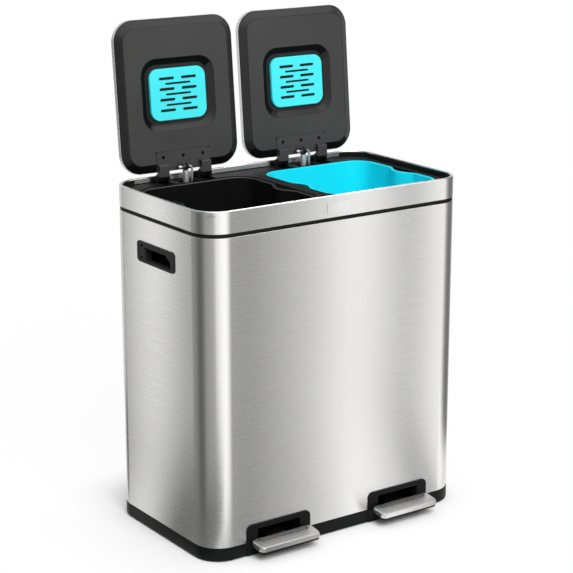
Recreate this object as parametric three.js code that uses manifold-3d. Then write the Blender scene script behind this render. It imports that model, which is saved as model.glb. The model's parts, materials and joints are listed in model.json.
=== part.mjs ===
// Double recycling bin: a brushed steel body on a black base, two lift-out buckets side by side,
// and two hinged lids, each opened by its own pedal through a lever and a push rod.
// Millimetres. +X right, -Y front, +Z up, floor at z = 0. The bin is built with its lids open.
import * as THREE from 'three';
import { mergeVertices } from 'three/addons/utils/BufferGeometryUtils.js';
import Module from 'manifold-3d';

const wasm = await Module();
wasm.setup();

// ---------------------------------------------------------------- driving dimensions

// Clearances.
const FIT = 0.3;                 // between fixed pieces
const RUN = 0.75;                // beside a moving piece
const PIN_PLAY = 0.3;            // radial, round a pin

// Body.
const BODY_WIDTH = 590;
const BODY_DEPTH = 343;
const RIM_TOP = 666;
const CORNER_RADIUS = 52;
const SHEET = 0.8;               // steel sheet thickness
const FOOT_HEIGHT = 2;
const FOOT_RADIUS = 15;
const FOOT_INSET = 46;
const FOOT_SOCKET = 1.2;
const BASE_TOP = 28;
const BASE_PROUD = 0.8;
const BASE_FLOOR = 3;
const BASE_WALL = 4;
const BASE_SKIRT = 30;           // how far the base reaches up inside the shell
const RIM_BAND_HEIGHT = 42;
const RIM_GAP = 6;               // black line between shell and rim band
const RIM_ROLL = 3.5;            // radius of the rolled top edge
const RIM_TUCK = 6;              // how far the roll comes down inside
const SHELL_LIP = 6;             // inward flange round the shell's top
const SHELL_FOLD = 1;            // outer fold of that flange
const SHELL_FOLD_INSIDE = 0.4;

// Top frame (black moulding that carries buckets, hinges and dampers).
const LEDGE_BELOW_RIM = 11.5;
const LEDGE_THICKNESS = 3;
const APRON_DEPTH = 26;
const APRON_WALL = 2;
const FRAME_SKIRT = 34;
const FRAME_WALL = 2.5;
const FRAME_REVEAL = 1;          // set back from the shell's face in the black line
const CENTRE_BAR = 26.5;         // width of the bar between the buckets

// Buckets.
const BUCKET_SIDE_INSET = 23;
const BUCKET_FRONT_INSET = 32.5;
const MECHANISM_DEPTH = 45.5;    // behind the buckets
const BUCKET_RADIUS = 44;
const BUCKET_BELOW_LEDGE = 1;
const BUCKET_FLOOR_Z = 96;
const BUCKET_WALL = 2;
const BUCKET_TAPER = 11;         // per side, rim to floor
const FLANGE_WIDTH = 5;
const FLANGE_THICKNESS = 2;
const FLANGE_SEAT = 4;           // overlap of flange on the top frame's step
const GRIP_DEPTH = 16;           // finger recess in each side wall of a bucket
const GRIP_HALF = 42;
const GRIP_Y = -8;               // from the bucket's centre
const GRIP_HEIGHT = 25;
const GRIP_FADE_HEIGHT = 90;     // below the rim, where the recess has faded out
const BUCKET_CORNER = 5;         // chamfer round the floor

// Lids, described closed and then swung open.
const LID_GAP = 15.2;            // between the two lids
const LID_SIDE_INSET = 23.4;
const LID_FRONT_INSET = 24.1;
const LID_REAR_INSET = 25.9;
const LID_RADIUS = 42;
const LID_THICKNESS = 10.5;
const LID_BELOW_RIM = 2;         // closed lid's lower edge
const LID_EDGE_ROUND = 3.5;
const LID_OPEN = 95.2;           // degrees from closed to the open stop
const HINGE_BEHIND_LID = 11.7;
const HINGE_BELOW_LID = 2.2;
const LINER_WALL = 2.2;
const LINER_BEVEL = 15;
const LINER_SOFT_EDGE = 0.6;
const LINER_SOFT_CREST = 1.2;
const PLATEAU_HEIGHT = 8;
const PLATEAU_CENTRE = 147.5;    // filter, from the lid's rear edge

// Filter behind a slotted cap.
const CAP_WIDTH = 124;
const CAP_LENGTH = 99;
const CAP_RADIUS = 19;
const CAP_BELOW_PLATEAU = 1.4;
const CAP_WALL = 2;
const RECESS_MARGIN = 19;
const RECESS_SLOPE = 11.5;
const RECESS_DEPTH = 8;
const RECESS_LIP = 1.5;
const SLOT_PITCH = 20.3;
const PAIR_SLOT = [33.5, 4.4];
const PAIR_SLOT_X = 24.8;
const SINGLE_SLOT = [56, 3.2];

// Hinge bracket on the lid's inner face.
const BRACKET_WIDTH = 120;
const BRACKET_LENGTH = 38;
const BRACKET_PLATE = 3.2;
const BRACKET_PROUD = 1;
const BRACKET_SETBACK = 1.4;     // from the lid's rear edge
const BRACKET_RADIUS = 6;
const BRACKET_HEEL = 9;
const HOOK_X = 47.7;
const HOOK_WIDTH = 21.5;
const HOOK_REACH = 13.8;         // below the hinge axis when closed
const HOOK_FRONT = 25;
const HOOK_TOE = 4;              // slanted front face of a hook
const HOOK_TOE_STEP = 0.4;
const HOOK_HEEL = [[-3, 0], [3.5, 7.8]];   // rear corners: [y, above the hook's lowest face]
const HOOK_BACK = [[-6, 3.5], [-10.6, 0], [-14, 0]];
const NOTCH_FRONT = 27;          // notch in the plate round the clevis
const NOTCH_REAR = 2.5;
const NOTCH_DEPTH = 1.8;
const BARREL_RADIUS = 6.5;
const HINGE_PIN_RADIUS = 2.4;
const HINGE_EAR = 4;
const HINGE_EAR_RADIUS = 5.6;
const SCREW_X = 44.5;
const SCREW_LINE = 27;
const SCREW_HEAD_RADIUS = 3.1;
const SCREW_HEAD = 1.6;
const SCREW_SHANK = 1.3;
const SCREW_POINT = 3;           // shank beyond the plate

// Link between lid and pedal lever.
const LINK_AHEAD = 18.3;         // link pin ahead of the hinge axis, lid closed
const LINK_BELOW = 13;           // link pin below the hinge axis, lid closed
const CLEVIS_RADIUS = 5;
const CLEVIS_EAR = 3.4;
const CLEVIS_GAP = 7;
const WIRE_RADIUS = 2.5;
const WIRE_BEND = 6;
const WIRE_X = 14;               // push rod, right of the lid's centre
const WIRE_LEFT = -13;           // left end of the link pin
const WIRE_FOOT = 20;            // length of the bent foot
const ROD_FOOT_Z = 60.6;
const BALL_RADIUS = 4;
const DAMPER_RADIUS = 6.4;
const DAMPER_EYE_RADIUS = 5;
const DAMPER_EYE_WIDTH = 6;
const DAMPER_TUBE = 150;
const DAMPER_TOP = 6.6;          // tube top, below the link pin
const DAMPER_ROD_RADIUS = 2.4;
const DAMPER_BORE_PLAY = 0.6;
const DAMPER_ANCHOR_Z = 478;
const ANCHOR_SHEET = 2.5;
const ANCHOR_GAP = 7.6;

// Pedals.
const PEDAL_INSIDE_QUARTER = 5.5; // pedal's centre, inward of the middle of its half of the body
const PEDAL_WIDTH = 135;
const PEDAL_LENGTH = 39;
const PEDAL_SKIN = 1.2;
const PEDAL_HEIGHT = 12;
const PEDAL_RADIUS = 9;
const PEDAL_EDGE = 3;
const PEDAL_TILT = 7.5;          // degrees, pressed
const PEDAL_REACH = 117.2;       // pivot to the pedal's rear edge
const PEDAL_RISE = 17.4;         // pedal top above the pivot
const PEDAL_LIP = 2;             // black core below the steel skin
const PIVOT_BEHIND_FRONT = 111.5;
const PIVOT_Z = 34;
const PIVOT_RADIUS = 3;
const PIVOT_EAR = 4;
const PIVOT_EAR_LENGTH = 24;
const LEVER_WIDTH = 44;
const LEVER_SHEET = 3;
const LEVER_TOP = 9;             // lever's top face above the pivot
const LEVER_FLANGE = 6;          // flange below the pivot
const LEVER_FLANGE_LENGTH = 28;
const LEVER_NOSE = 29.2;         // flanges start this far behind the pedal's rear edge
const LEVER_NOSE_RISE = 6;
const LEVER_INTO_PEDAL = 31;
const LEVER_TAIL = 26;           // strap ends ahead of the ear's rear edge
const LEVER_TAIL_RISE = 14;
const LEVER_BACKSET = 4;         // rod's foot ahead of the link pin when the lid is open
const SLOT_PLAY = 0.8;
const SLOT_MARGIN = 6;
const PEDAL_FRAME_WIDTH = 144;
const PEDAL_FRAME_TOP = 62;
const PEDAL_FRAME_RADIUS = 11;
const PEDAL_FRAME_PROUD = 2.3;
const PEDAL_FRAME_DEPTH = 15;
const PEDAL_FRAME_WALL = 2.2;
const PEDAL_FRAME_LAP = 1.5;     // plate laps the shell's cut edge
const PEDAL_SLOT_WIDTH = 97;
const PEDAL_SLOT_BOTTOM = 16;
const PEDAL_SLOT_TOP = 52;

// Side handles.
const HANDLE_LENGTH = 131;
const HANDLE_HEIGHT = 40;
const HANDLE_RADIUS = 8;
const HANDLE_Y = 2.3;
const HANDLE_Z = 554;
const HANDLE_PROUD = 1.8;
const HANDLE_CHAMFER = 0.8;
const HANDLE_DEPTH = 14;
const HANDLE_LAP = 3;
const GRIP_FRONT = 13;           // frame width ahead of the opening
const GRIP_REAR = 27;
const GRIP_BELOW = 4.5;
const GRIP_ABOVE = 10;
const GRIP_SLANT = [26, 8];      // slanted upper front corner of the opening

// Front plate and lid buffers.
const PLATE_WIDTH = 52;
const PLATE_HEIGHT = 19;
const PLATE_THICKNESS = 1.2;
const PLATE_X = -6.5;
const PLATE_Z = 642.5;
const BUFFER_RADIUS = 2.6;
const BUFFER_X = 84;
const BUFFER_INSET = 3.2;

// ---------------------------------------------------------------- places worked out from them

const CORNER_STEPS = 4;         // facets in a quarter turn of a large corner
const SMALL_STEPS = 3;          // and of a small one
const FLATNESS = 0.01;
const rad = THREE.MathUtils.degToRad;
const sideX = BODY_WIDTH / 2;
const frontY = -BODY_DEPTH / 2;
const rearY = BODY_DEPTH / 2;
const shellTop = RIM_TOP - RIM_BAND_HEIGHT - RIM_GAP;
const bandBottom = RIM_TOP - RIM_BAND_HEIGHT;
const ledgeZ = RIM_TOP - LEDGE_BELOW_RIM;
const bucketRim = ledgeZ - BUCKET_BELOW_LEDGE;
const stepZ = bucketRim - FLANGE_THICKNESS - FIT;
const apronBottom = ledgeZ - APRON_DEPTH;
const skirtBottom = shellTop - FRAME_SKIRT;

const flangeWidth = sideX - BUCKET_SIDE_INSET - CENTRE_BAR / 2 - RUN;
const flangeDepth = BODY_DEPTH - BUCKET_FRONT_INSET - MECHANISM_DEPTH;
const bucketX = CENTRE_BAR / 2 + RUN + flangeWidth / 2;
const bucketY = frontY + BUCKET_FRONT_INSET + flangeDepth / 2;
const bucketRear = bucketY + flangeDepth / 2;

const lidWidth = sideX - LID_SIDE_INSET - LID_GAP / 2;
const lidLength = BODY_DEPTH - LID_FRONT_INSET - LID_REAR_INSET;
const lidX = LID_GAP / 2 + lidWidth / 2;
const hingeY = rearY - LID_REAR_INSET + HINGE_BEHIND_LID;
const hingeZ = RIM_TOP - LID_BELOW_RIM - HINGE_BELOW_LID;

// Lid frame: origin on the hinge axis, lid lying forward (-Y), its inner side down (-Z).
const lidEdgeZ = HINGE_BELOW_LID;
const lidTopZ = lidEdgeZ + LID_THICKNESS;
const lidCentreY = -HINGE_BEHIND_LID - lidLength / 2;
const plateauZ = lidEdgeZ - PLATEAU_HEIGHT;
const filterY = -HINGE_BEHIND_LID - PLATEAU_CENTRE;
const plateZ = plateauZ - BRACKET_PROUD;
const plateBackZ = plateZ + BRACKET_PLATE;
const plateRearY = -HINGE_BEHIND_LID - BRACKET_SETBACK;
const plateFrontY = plateRearY - BRACKET_LENGTH;
const linkLocal = new THREE.Vector2(-LINK_AHEAD, -LINK_BELOW);

// A point of the lid frame (y, z) in the body's frame, with the lid swung by so many degrees.
function swing(point, degrees) {
  const a = -rad(degrees);
  return new THREE.Vector2(
    hingeY + point.x * Math.cos(a) - point.y * Math.sin(a),
    hingeZ + point.x * Math.sin(a) + point.y * Math.cos(a),
  );
}
const linkOpen = swing(linkLocal, LID_OPEN);
const linkClosed = swing(linkLocal, 0);
const linkStroke = linkOpen.y - linkClosed.y;
const rodLength = linkOpen.y - ROD_FOOT_Z;
const rodLean = THREE.MathUtils.radToDeg(Math.asin((linkOpen.x - linkClosed.x) / rodLength));
const damperLength = linkOpen.y - DAMPER_ANCHOR_Z;
const damperLean = THREE.MathUtils.radToDeg(Math.asin((linkOpen.x - linkClosed.x) / damperLength));

const pedalX = sideX / 2 - PEDAL_INSIDE_QUARTER;
const pivotY = frontY + PIVOT_BEHIND_FRONT;
const leverArm = linkOpen.x - pivotY - LEVER_BACKSET;
const leverRadius = Math.hypot(leverArm, ROD_FOOT_Z - PIVOT_Z);
const leverRise = Math.asin((ROD_FOOT_Z - PIVOT_Z) / leverRadius);
const pedalSwing = THREE.MathUtils.radToDeg(
  leverRise - Math.asin(Math.sin(leverRise) - linkStroke / leverRadius),
);

// Where a hanging link's foot goes while the lid swings from open (0) to closed (1).
function footOfLink(length, lean, share) {
  const top = swing(linkLocal, LID_OPEN * (1 - share));
  const a = rad(lean * share);
  return new THREE.Vector2(top.x + length * Math.sin(a), top.y - length * Math.cos(a));
}

// The same foot seen from the pedal lever, in the lever's own untilted frame.
function footInLever(share) {
  const foot = footOfLink(rodLength, rodLean, share);
  const a = -rad(PEDAL_TILT - pedalSwing * share);
  const y = foot.x - pivotY;
  const z = foot.y - PIVOT_Z;
  return new THREE.Vector2(y * Math.cos(a) - z * Math.sin(a), y * Math.sin(a) + z * Math.cos(a));
}

// The foot of the damper rod, whose rod slides evenly into its tube.
function damperFoot(share) {
  return footOfLink(damperLength - linkStroke * share, damperLean, share);
}

// Smallest box round the places a foot goes.
function reach(place) {
  const box = new THREE.Box2();
  for (let i = 0; i <= 40; i += 1) box.expandByPoint(place(i / 40));
  return box;
}

// ---------------------------------------------------------------- solid tools

const finish = {
  steel: { color: 0xb9b7b3, roughness: 0.38, metalness: 1 },
  wire: { color: 0xd2d2d0, roughness: 0.25, metalness: 1 },
  dark: { color: 0x303032, roughness: 0.45, metalness: 1 },
  black: { color: 0x1b1c1e, roughness: 0.55, metalness: 0 },
  liner: { color: 0x2c2c2d, roughness: 0.5, metalness: 0 },
  cyan: { color: 0x16d2ee, roughness: 0.45, metalness: 0 },
  felt: { color: 0x26272a, roughness: 0.95, metalness: 0 },
  rubber: { color: 0x151515, roughness: 0.85, metalness: 0 },
};

function flipped(geometry) {
  const index = geometry.index.array;
  for (let i = 0; i < index.length; i += 3) {
    const keep = index[i + 1];
    index[i + 1] = index[i + 2];
    index[i + 2] = keep;
  }
  return geometry;
}

function signedVolume(geometry) {
  const at = geometry.attributes.position;
  const index = geometry.index.array;
  const [a, b, c] = [new THREE.Vector3(), new THREE.Vector3(), new THREE.Vector3()];
  let sum = 0;
  for (let i = 0; i < index.length; i += 3) {
    a.fromBufferAttribute(at, index[i]);
    b.fromBufferAttribute(at, index[i + 1]);
    c.fromBufferAttribute(at, index[i + 2]);
    sum += a.dot(b.cross(c));
  }
  return sum;
}

// A closed geometry as a solid for cutting and joining.
function solid(geometry) {
  const bare = geometry.clone();
  bare.deleteAttribute('normal');
  bare.deleteAttribute('uv');
  const merged = mergeVertices(bare, 1e-4);
  if (signedVolume(merged) < 0) flipped(merged);
  return new wasm.Manifold(new wasm.Mesh({
    numProp: 3,
    vertProperties: new Float32Array(merged.attributes.position.array),
    triVerts: new Uint32Array(merged.index.array),
  }));
}

// A solid as a named mesh, without the points that its flat faces can spare.
function mesh(name, body, look) {
  const out = body.simplify(FLATNESS).getMesh();
  const geometry = new THREE.BufferGeometry();
  geometry.setAttribute('position', new THREE.BufferAttribute(new Float32Array(out.vertProperties), 3));
  geometry.setIndex(new THREE.BufferAttribute(new Uint32Array(out.triVerts), 1));
  const flat = geometry.toNonIndexed();
  flat.computeVertexNormals();
  const made = new THREE.Mesh(flat, new THREE.MeshStandardMaterial(look));
  made.name = name;
  return made;
}

const joined = (...bodies) => bodies.reduce((all, one) => all.add(one));
const cut = (body, ...tools) => tools.reduce((rest, tool) => rest.subtract(tool), body);

// Rounded rectangle as a ring of points, counter-clockwise. Rings with the same steps match point by point.
function ring(width, depth, radius, x = 0, y = 0, steps = CORNER_STEPS) {
  const r = Math.max(radius, 0.05);
  const points = [];
  for (let corner = 0; corner < 4; corner += 1) {
    const cx = (corner === 0 || corner === 3 ? 1 : -1) * (width / 2 - r);
    const cy = (corner < 2 ? 1 : -1) * (depth / 2 - r);
    for (let i = 0; i <= steps; i += 1) {
      const a = (corner + i / steps) * Math.PI / 2;
      points.push(new THREE.Vector2(x + cx + r * Math.cos(a), y + cy + r * Math.sin(a)));
    }
  }
  return points;
}

// Skin between rings, each { points, z }. Open ends are capped, a closed section wraps round.
function skin(rings, wraps) {
  const count = rings[0].points.length;
  const position = [];
  const index = [];
  for (const { points, z } of rings) for (const p of points) position.push(p.x, p.y, z);
  const last = wraps ? rings.length : rings.length - 1;
  for (let k = 0; k < last; k += 1) {
    const low = k * count;
    const high = ((k + 1) % rings.length) * count;
    for (let i = 0; i < count; i += 1) {
      const j = (i + 1) % count;
      index.push(low + i, low + j, high + j, low + i, high + j, high + i);
    }
  }
  if (!wraps) {
    const end = (rings.length - 1) * count;
    for (const [a, b, c] of THREE.ShapeUtils.triangulateShape(rings[0].points, [])) index.push(a, c, b);
    for (const [a, b, c] of THREE.ShapeUtils.triangulateShape(rings.at(-1).points, [])) {
      index.push(end + a, end + b, end + c);
    }
  }
  const geometry = new THREE.BufferGeometry();
  geometry.setAttribute('position', new THREE.Float32BufferAttribute(position, 3));
  geometry.setIndex(index);
  return solid(geometry);
}

const loft = (rings) => skin(rings, false);

// A closed section, its points [inset from the outline, z], carried round a rounded rectangle.
function frameOf(width, depth, radius, section) {
  return skin(section.map(([inset, z]) => ({
    points: ring(width - 2 * inset, depth - 2 * inset, radius - inset),
    z,
  })), true);
}

const slab = (points, low, high) => loft([{ points, z: low }, { points, z: high }]);

function block(x0, x1, y0, y1, z0, z1) {
  const geometry = new THREE.BoxGeometry(x1 - x0, y1 - y0, z1 - z0);
  geometry.translate((x0 + x1) / 2, (y0 + y1) / 2, (z0 + z1) / 2);
  return solid(geometry);
}

// An outline in the (y, z) plane carried along X.
function alongX(points, x0, x1) {
  const geometry = new THREE.ExtrudeGeometry(new THREE.Shape(points), {
    depth: x1 - x0, bevelEnabled: false, curveSegments: CORNER_STEPS,
  });
  geometry.applyMatrix4(new THREE.Matrix4().set(
    0, 0, 1, x0,
    1, 0, 0, 0,
    0, 1, 0, 0,
    0, 0, 0, 1,
  ));
  return solid(geometry);
}

// An outline in the (x, z) plane carried along Y.
function alongY(points, y0, y1) {
  const geometry = new THREE.ExtrudeGeometry(new THREE.Shape(points), {
    depth: y1 - y0, bevelEnabled: false, curveSegments: CORNER_STEPS,
  });
  geometry.applyMatrix4(new THREE.Matrix4().set(
    1, 0, 0, 0,
    0, 0, -1, y1,
    0, 1, 0, 0,
    0, 0, 0, 1,
  ));
  return solid(geometry);
}

function rodAlongX(radius, x0, x1, y, z, sides = 10) {
  const geometry = new THREE.CylinderGeometry(radius, radius, x1 - x0, sides);
  geometry.rotateZ(Math.PI / 2);
  geometry.translate((x0 + x1) / 2, y, z);
  return solid(geometry);
}

// A profile of [radius, z] turned about Z.
function turned(profile, sides) {
  const geometry = new THREE.LatheGeometry(profile.map(([r, z]) => new THREE.Vector2(r, z)), sides);
  geometry.rotateX(Math.PI / 2);
  return solid(geometry);
}

function post(radius, x, y, z0, z1, sides = 20) {
  const geometry = new THREE.CylinderGeometry(radius, radius, z1 - z0, sides);
  geometry.rotateX(Math.PI / 2);
  geometry.translate(x, y, (z0 + z1) / 2);
  return solid(geometry);
}

// A wire in the (x, z) plane at y = 0 along a path of [x, z], its bends rounded.
function wire(path, radius, bend) {
  const corners = path.map(([x, z]) => new THREE.Vector2(x, z));
  const centres = [corners[0]];
  const bendSteps = 4;
  for (let k = 1; k < corners.length - 1; k += 1) {
    const into = corners[k].clone().sub(corners[k - 1]).normalize();
    const away = corners[k + 1].clone().sub(corners[k]).normalize();
    const start = corners[k].clone().addScaledVector(into, -bend);
    for (let i = 0; i <= bendSteps; i += 1) {
      const a = i / bendSteps * Math.PI / 2;
      centres.push(start.clone().addScaledVector(into, bend * Math.sin(a))
        .addScaledVector(away, bend * (1 - Math.cos(a))));
    }
  }
  centres.push(corners.at(-1));
  const sides = 8;
  const position = [];
  const index = [];
  centres.forEach((centre, k) => {
    const before = centres[Math.max(k - 1, 0)];
    const after = centres[Math.min(k + 1, centres.length - 1)];
    const along = after.clone().sub(before).normalize();
    for (let i = 0; i < sides; i += 1) {
      const a = (i + 0.5) / sides * Math.PI * 2;
      const across = radius * Math.cos(a);
      position.push(centre.x - along.y * across, radius * Math.sin(a), centre.y + along.x * across);
    }
  });
  for (let k = 0; k < centres.length - 1; k += 1) {
    for (let i = 0; i < sides; i += 1) {
      const j = (i + 1) % sides;
      const low = k * sides;
      const high = low + sides;
      index.push(low + i, low + j, high + j, low + i, high + j, high + i);
    }
  }
  const end = (centres.length - 1) * sides;
  for (let i = 1; i < sides - 1; i += 1) {
    index.push(0, i + 1, i);
    index.push(end, end + i, end + i + 1);
  }
  const geometry = new THREE.BufferGeometry();
  geometry.setAttribute('position', new THREE.Float32BufferAttribute(position, 3));
  geometry.setIndex(index);
  return solid(geometry);
}

// ---------------------------------------------------------------- body

// Openings that the side handles and pedal frames fill, cut through the shell.
function handleOpening(side, play) {
  const centreY = -side * HANDLE_Y;
  const points = ring(HANDLE_LENGTH - 2 * HANDLE_LAP + 2 * play, HANDLE_HEIGHT - 2 * HANDLE_LAP + 2 * play,
    HANDLE_RADIUS - HANDLE_LAP + play, centreY, HANDLE_Z, SMALL_STEPS);
  return alongX(points, side > 0 ? sideX - 6 : -sideX - 6, side > 0 ? sideX + 6 : -sideX + 6);
}

function pedalFrameOutline(centre, shrink, bottom) {
  const half = PEDAL_FRAME_WIDTH / 2 - shrink;
  const top = PEDAL_FRAME_TOP - shrink;
  const r = PEDAL_FRAME_RADIUS - shrink;
  const points = [new THREE.Vector2(centre - half, bottom), new THREE.Vector2(centre + half, bottom)];
  for (const corner of [0, 1]) {
    const x = centre + (corner === 0 ? half - r : r - half);
    for (let i = 0; i <= SMALL_STEPS; i += 1) {
      const a = (corner + i / SMALL_STEPS) * Math.PI / 2;
      points.push(new THREE.Vector2(x + r * Math.cos(a), top - r + r * Math.sin(a)));
    }
  }
  return points;
}

function bodyShell() {
  const shell = frameOf(BODY_WIDTH, BODY_DEPTH, CORNER_RADIUS, [
    [0, BASE_TOP], [0, shellTop - SHELL_FOLD], [SHELL_FOLD, shellTop], [SHELL_LIP, shellTop],
    [SHELL_LIP, shellTop - SHEET], [SHEET + SHELL_FOLD_INSIDE, shellTop - SHEET],
    [SHEET, shellTop - SHELL_FOLD - SHELL_FOLD_INSIDE], [SHEET, BASE_TOP],
  ]);
  const notch = (centre) => alongY(pedalFrameOutline(centre, PEDAL_FRAME_LAP - FIT, BASE_TOP - 10),
    frontY - 5, frontY + 5);
  return mesh('body_shell', cut(shell, handleOpening(-1, FIT), handleOpening(1, FIT),
    notch(-pedalX), notch(pedalX)), finish.steel);
}

function rimBand() {
  const section = [[0, bandBottom]];
  const rollZ = RIM_TOP - RIM_ROLL;
  const steps = 4;
  for (let i = 0; i <= steps; i += 1) {
    const a = i / steps * Math.PI;
    section.push([RIM_ROLL * (1 - Math.cos(a)), rollZ + RIM_ROLL * Math.sin(a)]);
  }
  section.push([2 * RIM_ROLL, rollZ - RIM_TUCK], [2 * RIM_ROLL - SHEET, rollZ - RIM_TUCK]);
  const inner = RIM_ROLL - SHEET;
  for (let i = steps; i >= 0; i -= 1) {
    const a = i / steps * Math.PI;
    section.push([RIM_ROLL - inner * Math.cos(a), rollZ + inner * Math.sin(a)]);
  }
  section.push([SHEET, bandBottom]);
  return mesh('rim_band', frameOf(BODY_WIDTH, BODY_DEPTH, CORNER_RADIUS, section), finish.steel);
}

// A bucket opening's outline, grown (or shrunk) from the bucket's flange.
function flangeOutline(side, grow) {
  return ring(flangeWidth + 2 * grow, flangeDepth + 2 * grow, BUCKET_RADIUS + grow, side * bucketX, bucketY);
}

function topFrame() {
  const band = SHEET + FIT;
  const tuck = SHELL_LIP + FIT;
  const wall = frameOf(BODY_WIDTH, BODY_DEPTH, CORNER_RADIUS, [
    [band, ledgeZ], [band, bandBottom - FIT], [FRAME_REVEAL, bandBottom - FIT], [FRAME_REVEAL, shellTop + FIT],
    [tuck, shellTop + FIT], [tuck, skirtBottom], [tuck + FRAME_WALL, skirtBottom], [tuck + FRAME_WALL, ledgeZ],
  ]);
  const inner = band + FRAME_WALL;
  const ledge = slab(ring(BODY_WIDTH - 2 * inner, BODY_DEPTH - 2 * inner, CORNER_RADIUS - inner),
    ledgeZ - LEDGE_THICKNESS, ledgeZ);
  let frame = joined(wall, ledge);
  for (const side of [-1, 1]) {
    frame = frame.add(slab(flangeOutline(side, RUN + APRON_WALL), apronBottom, ledgeZ));
  }
  for (const side of [-1, 1]) {
    frame = cut(frame,
      slab(flangeOutline(side, RUN), stepZ, ledgeZ + 10),
      slab(flangeOutline(side, -FLANGE_SEAT), apronBottom - 10, ledgeZ + 10));
    const centre = side * lidX;
    // Hook pockets with an ear each side for the hinge pin.
    const sweep = Math.sqrt(HOOK_FRONT ** 2 + HOOK_REACH ** 2 - (hingeZ - ledgeZ) ** 2);
    const pocketFront = hingeY - Math.max(sweep, HOOK_FRONT + HOOK_TOE) - RUN;
    const pocketRear = hingeY + BARREL_RADIUS + 2;
    const pocketFloor = hingeZ - HOOK_REACH - RUN;
    for (const hook of [-1, 1]) {
      const x = centre + hook * HOOK_X;
      const half = HOOK_WIDTH / 2 + RUN;
      const boxHalf = half + HINGE_EAR;
      frame = frame.add(block(x - boxHalf, x + boxHalf, pocketFront + 0.4, pocketRear + 2,
        pocketFloor - 2, ledgeZ - 0.5));
      for (const end of [-1, 1]) {
        const [x0, x1] = end < 0 ? [x - boxHalf, x - half] : [x + half, x + boxHalf];
        frame = joined(frame,
          block(x0, x1, hingeY - HINGE_EAR_RADIUS, hingeY + HINGE_EAR_RADIUS, ledgeZ - 1, hingeZ),
          rodAlongX(HINGE_EAR_RADIUS, x0, x1, hingeY, hingeZ));
      }
      frame = cut(frame,
        block(x - half, x + half, pocketFront, pocketRear, pocketFloor, ledgeZ + 30),
        rodAlongX(HINGE_PIN_RADIUS + PIN_PLAY / 2, x - boxHalf - 5, x + boxHalf + 5, hingeY, hingeZ, 10));
    }
    // Window for the push rod and the damper.
    frame = cut(frame, block(centre + WIRE_LEFT - BALL_RADIUS - 2, centre + WIRE_X + WIRE_RADIUS + 3,
      bucketRear + RUN + 0.6, linkOpen.x + CLEVIS_RADIUS + 3, apronBottom - 10, ledgeZ + 10));
  }
  return mesh('top_frame', frame, finish.black);
}

function lidBuffer(name, side, end) {
  const bevel = PLATEAU_HEIGHT / LINER_BEVEL;
  const y = frontY + LID_FRONT_INSET + BUFFER_INSET;
  const top = RIM_TOP - LID_BELOW_RIM - bevel * (BUFFER_INSET + BUFFER_RADIUS) - FIT;
  const x = side * lidX + end * BUFFER_X;
  return mesh(name, post(BUFFER_RADIUS, x, y, ledgeZ + 0.1, top, 10), finish.rubber);
}

function frontPlate() {
  const points = ring(PLATE_WIDTH, PLATE_HEIGHT, 2, PLATE_X, PLATE_Z, SMALL_STEPS);
  const y = frontY - 0.1;
  return mesh('front_plate', alongY(points, y - PLATE_THICKNESS, y), finish.steel);
}

function baseTray() {
  const inside = SHEET + FIT;
  const top = BASE_TOP - 0.3;
  let base = frameOf(BODY_WIDTH, BODY_DEPTH, CORNER_RADIUS, [
    [-BASE_PROUD, FOOT_HEIGHT + 1.5], [-BASE_PROUD, top - 1], [-BASE_PROUD + 0.6, top], [inside, top],
    [inside, BASE_TOP + BASE_SKIRT], [inside + BASE_WALL / 2, BASE_TOP + BASE_SKIRT],
    [inside + BASE_WALL / 2, FOOT_HEIGHT], [0.8, FOOT_HEIGHT],
  ]);
  base = base.add(slab(ring(BODY_WIDTH - 4, BODY_DEPTH - 4, CORNER_RADIUS - 2),
    FOOT_HEIGHT, FOOT_HEIGHT + BASE_FLOOR));
  const floor = FOOT_HEIGHT + BASE_FLOOR;
  for (const side of [-1, 1]) {
    const x = side * pedalX;
    // Ears that carry the lever's pivot pin.
    for (const end of [-1, 1]) {
      const near = LEVER_WIDTH / 2 + RUN;
      const [x0, x1] = end < 0 ? [x - near - PIVOT_EAR, x - near] : [x + near, x + near + PIVOT_EAR];
      base = joined(base,
        block(x0, x1, pivotY - PIVOT_EAR_LENGTH / 2, pivotY + PIVOT_EAR_LENGTH / 2, floor - 1, PIVOT_Z),
        rodAlongX(PIVOT_EAR_LENGTH / 2, x0, x1, pivotY, PIVOT_Z));
    }
    base = cut(base,
      rodAlongX(PIVOT_RADIUS + PIN_PLAY / 2, x - LEVER_WIDTH, x + LEVER_WIDTH, pivotY, PIVOT_Z, 10));
    const half = PEDAL_FRAME_WIDTH / 2 - PEDAL_FRAME_LAP + FIT;
    base = cut(base, block(x - half, x + half, frontY - 5, frontY + PEDAL_FRAME_DEPTH + FIT,
      FOOT_HEIGHT - 1, BASE_TOP + BASE_SKIRT + 5));
  }
  for (const [x, y] of footPlaces()) {
    base = cut(base, post(FOOT_RADIUS + FIT, x, y, FOOT_HEIGHT - 1, FOOT_HEIGHT + FOOT_SOCKET, 16));
  }
  return mesh('base_tray', base, finish.black);
}

function footPlaces() {
  const x = sideX - FOOT_INSET;
  const y = rearY - FOOT_INSET;
  return [[-x, -y], [x, -y], [-x, y], [x, y]];
}

function feet() {
  const names = ['foot_front_left', 'foot_front_right', 'foot_rear_left', 'foot_rear_right'];
  return footPlaces().map(([x, y], i) => mesh(names[i],
    post(FOOT_RADIUS, x, y, 0, FOOT_HEIGHT + FOOT_SOCKET - 0.2, 16), finish.rubber));
}

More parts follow.
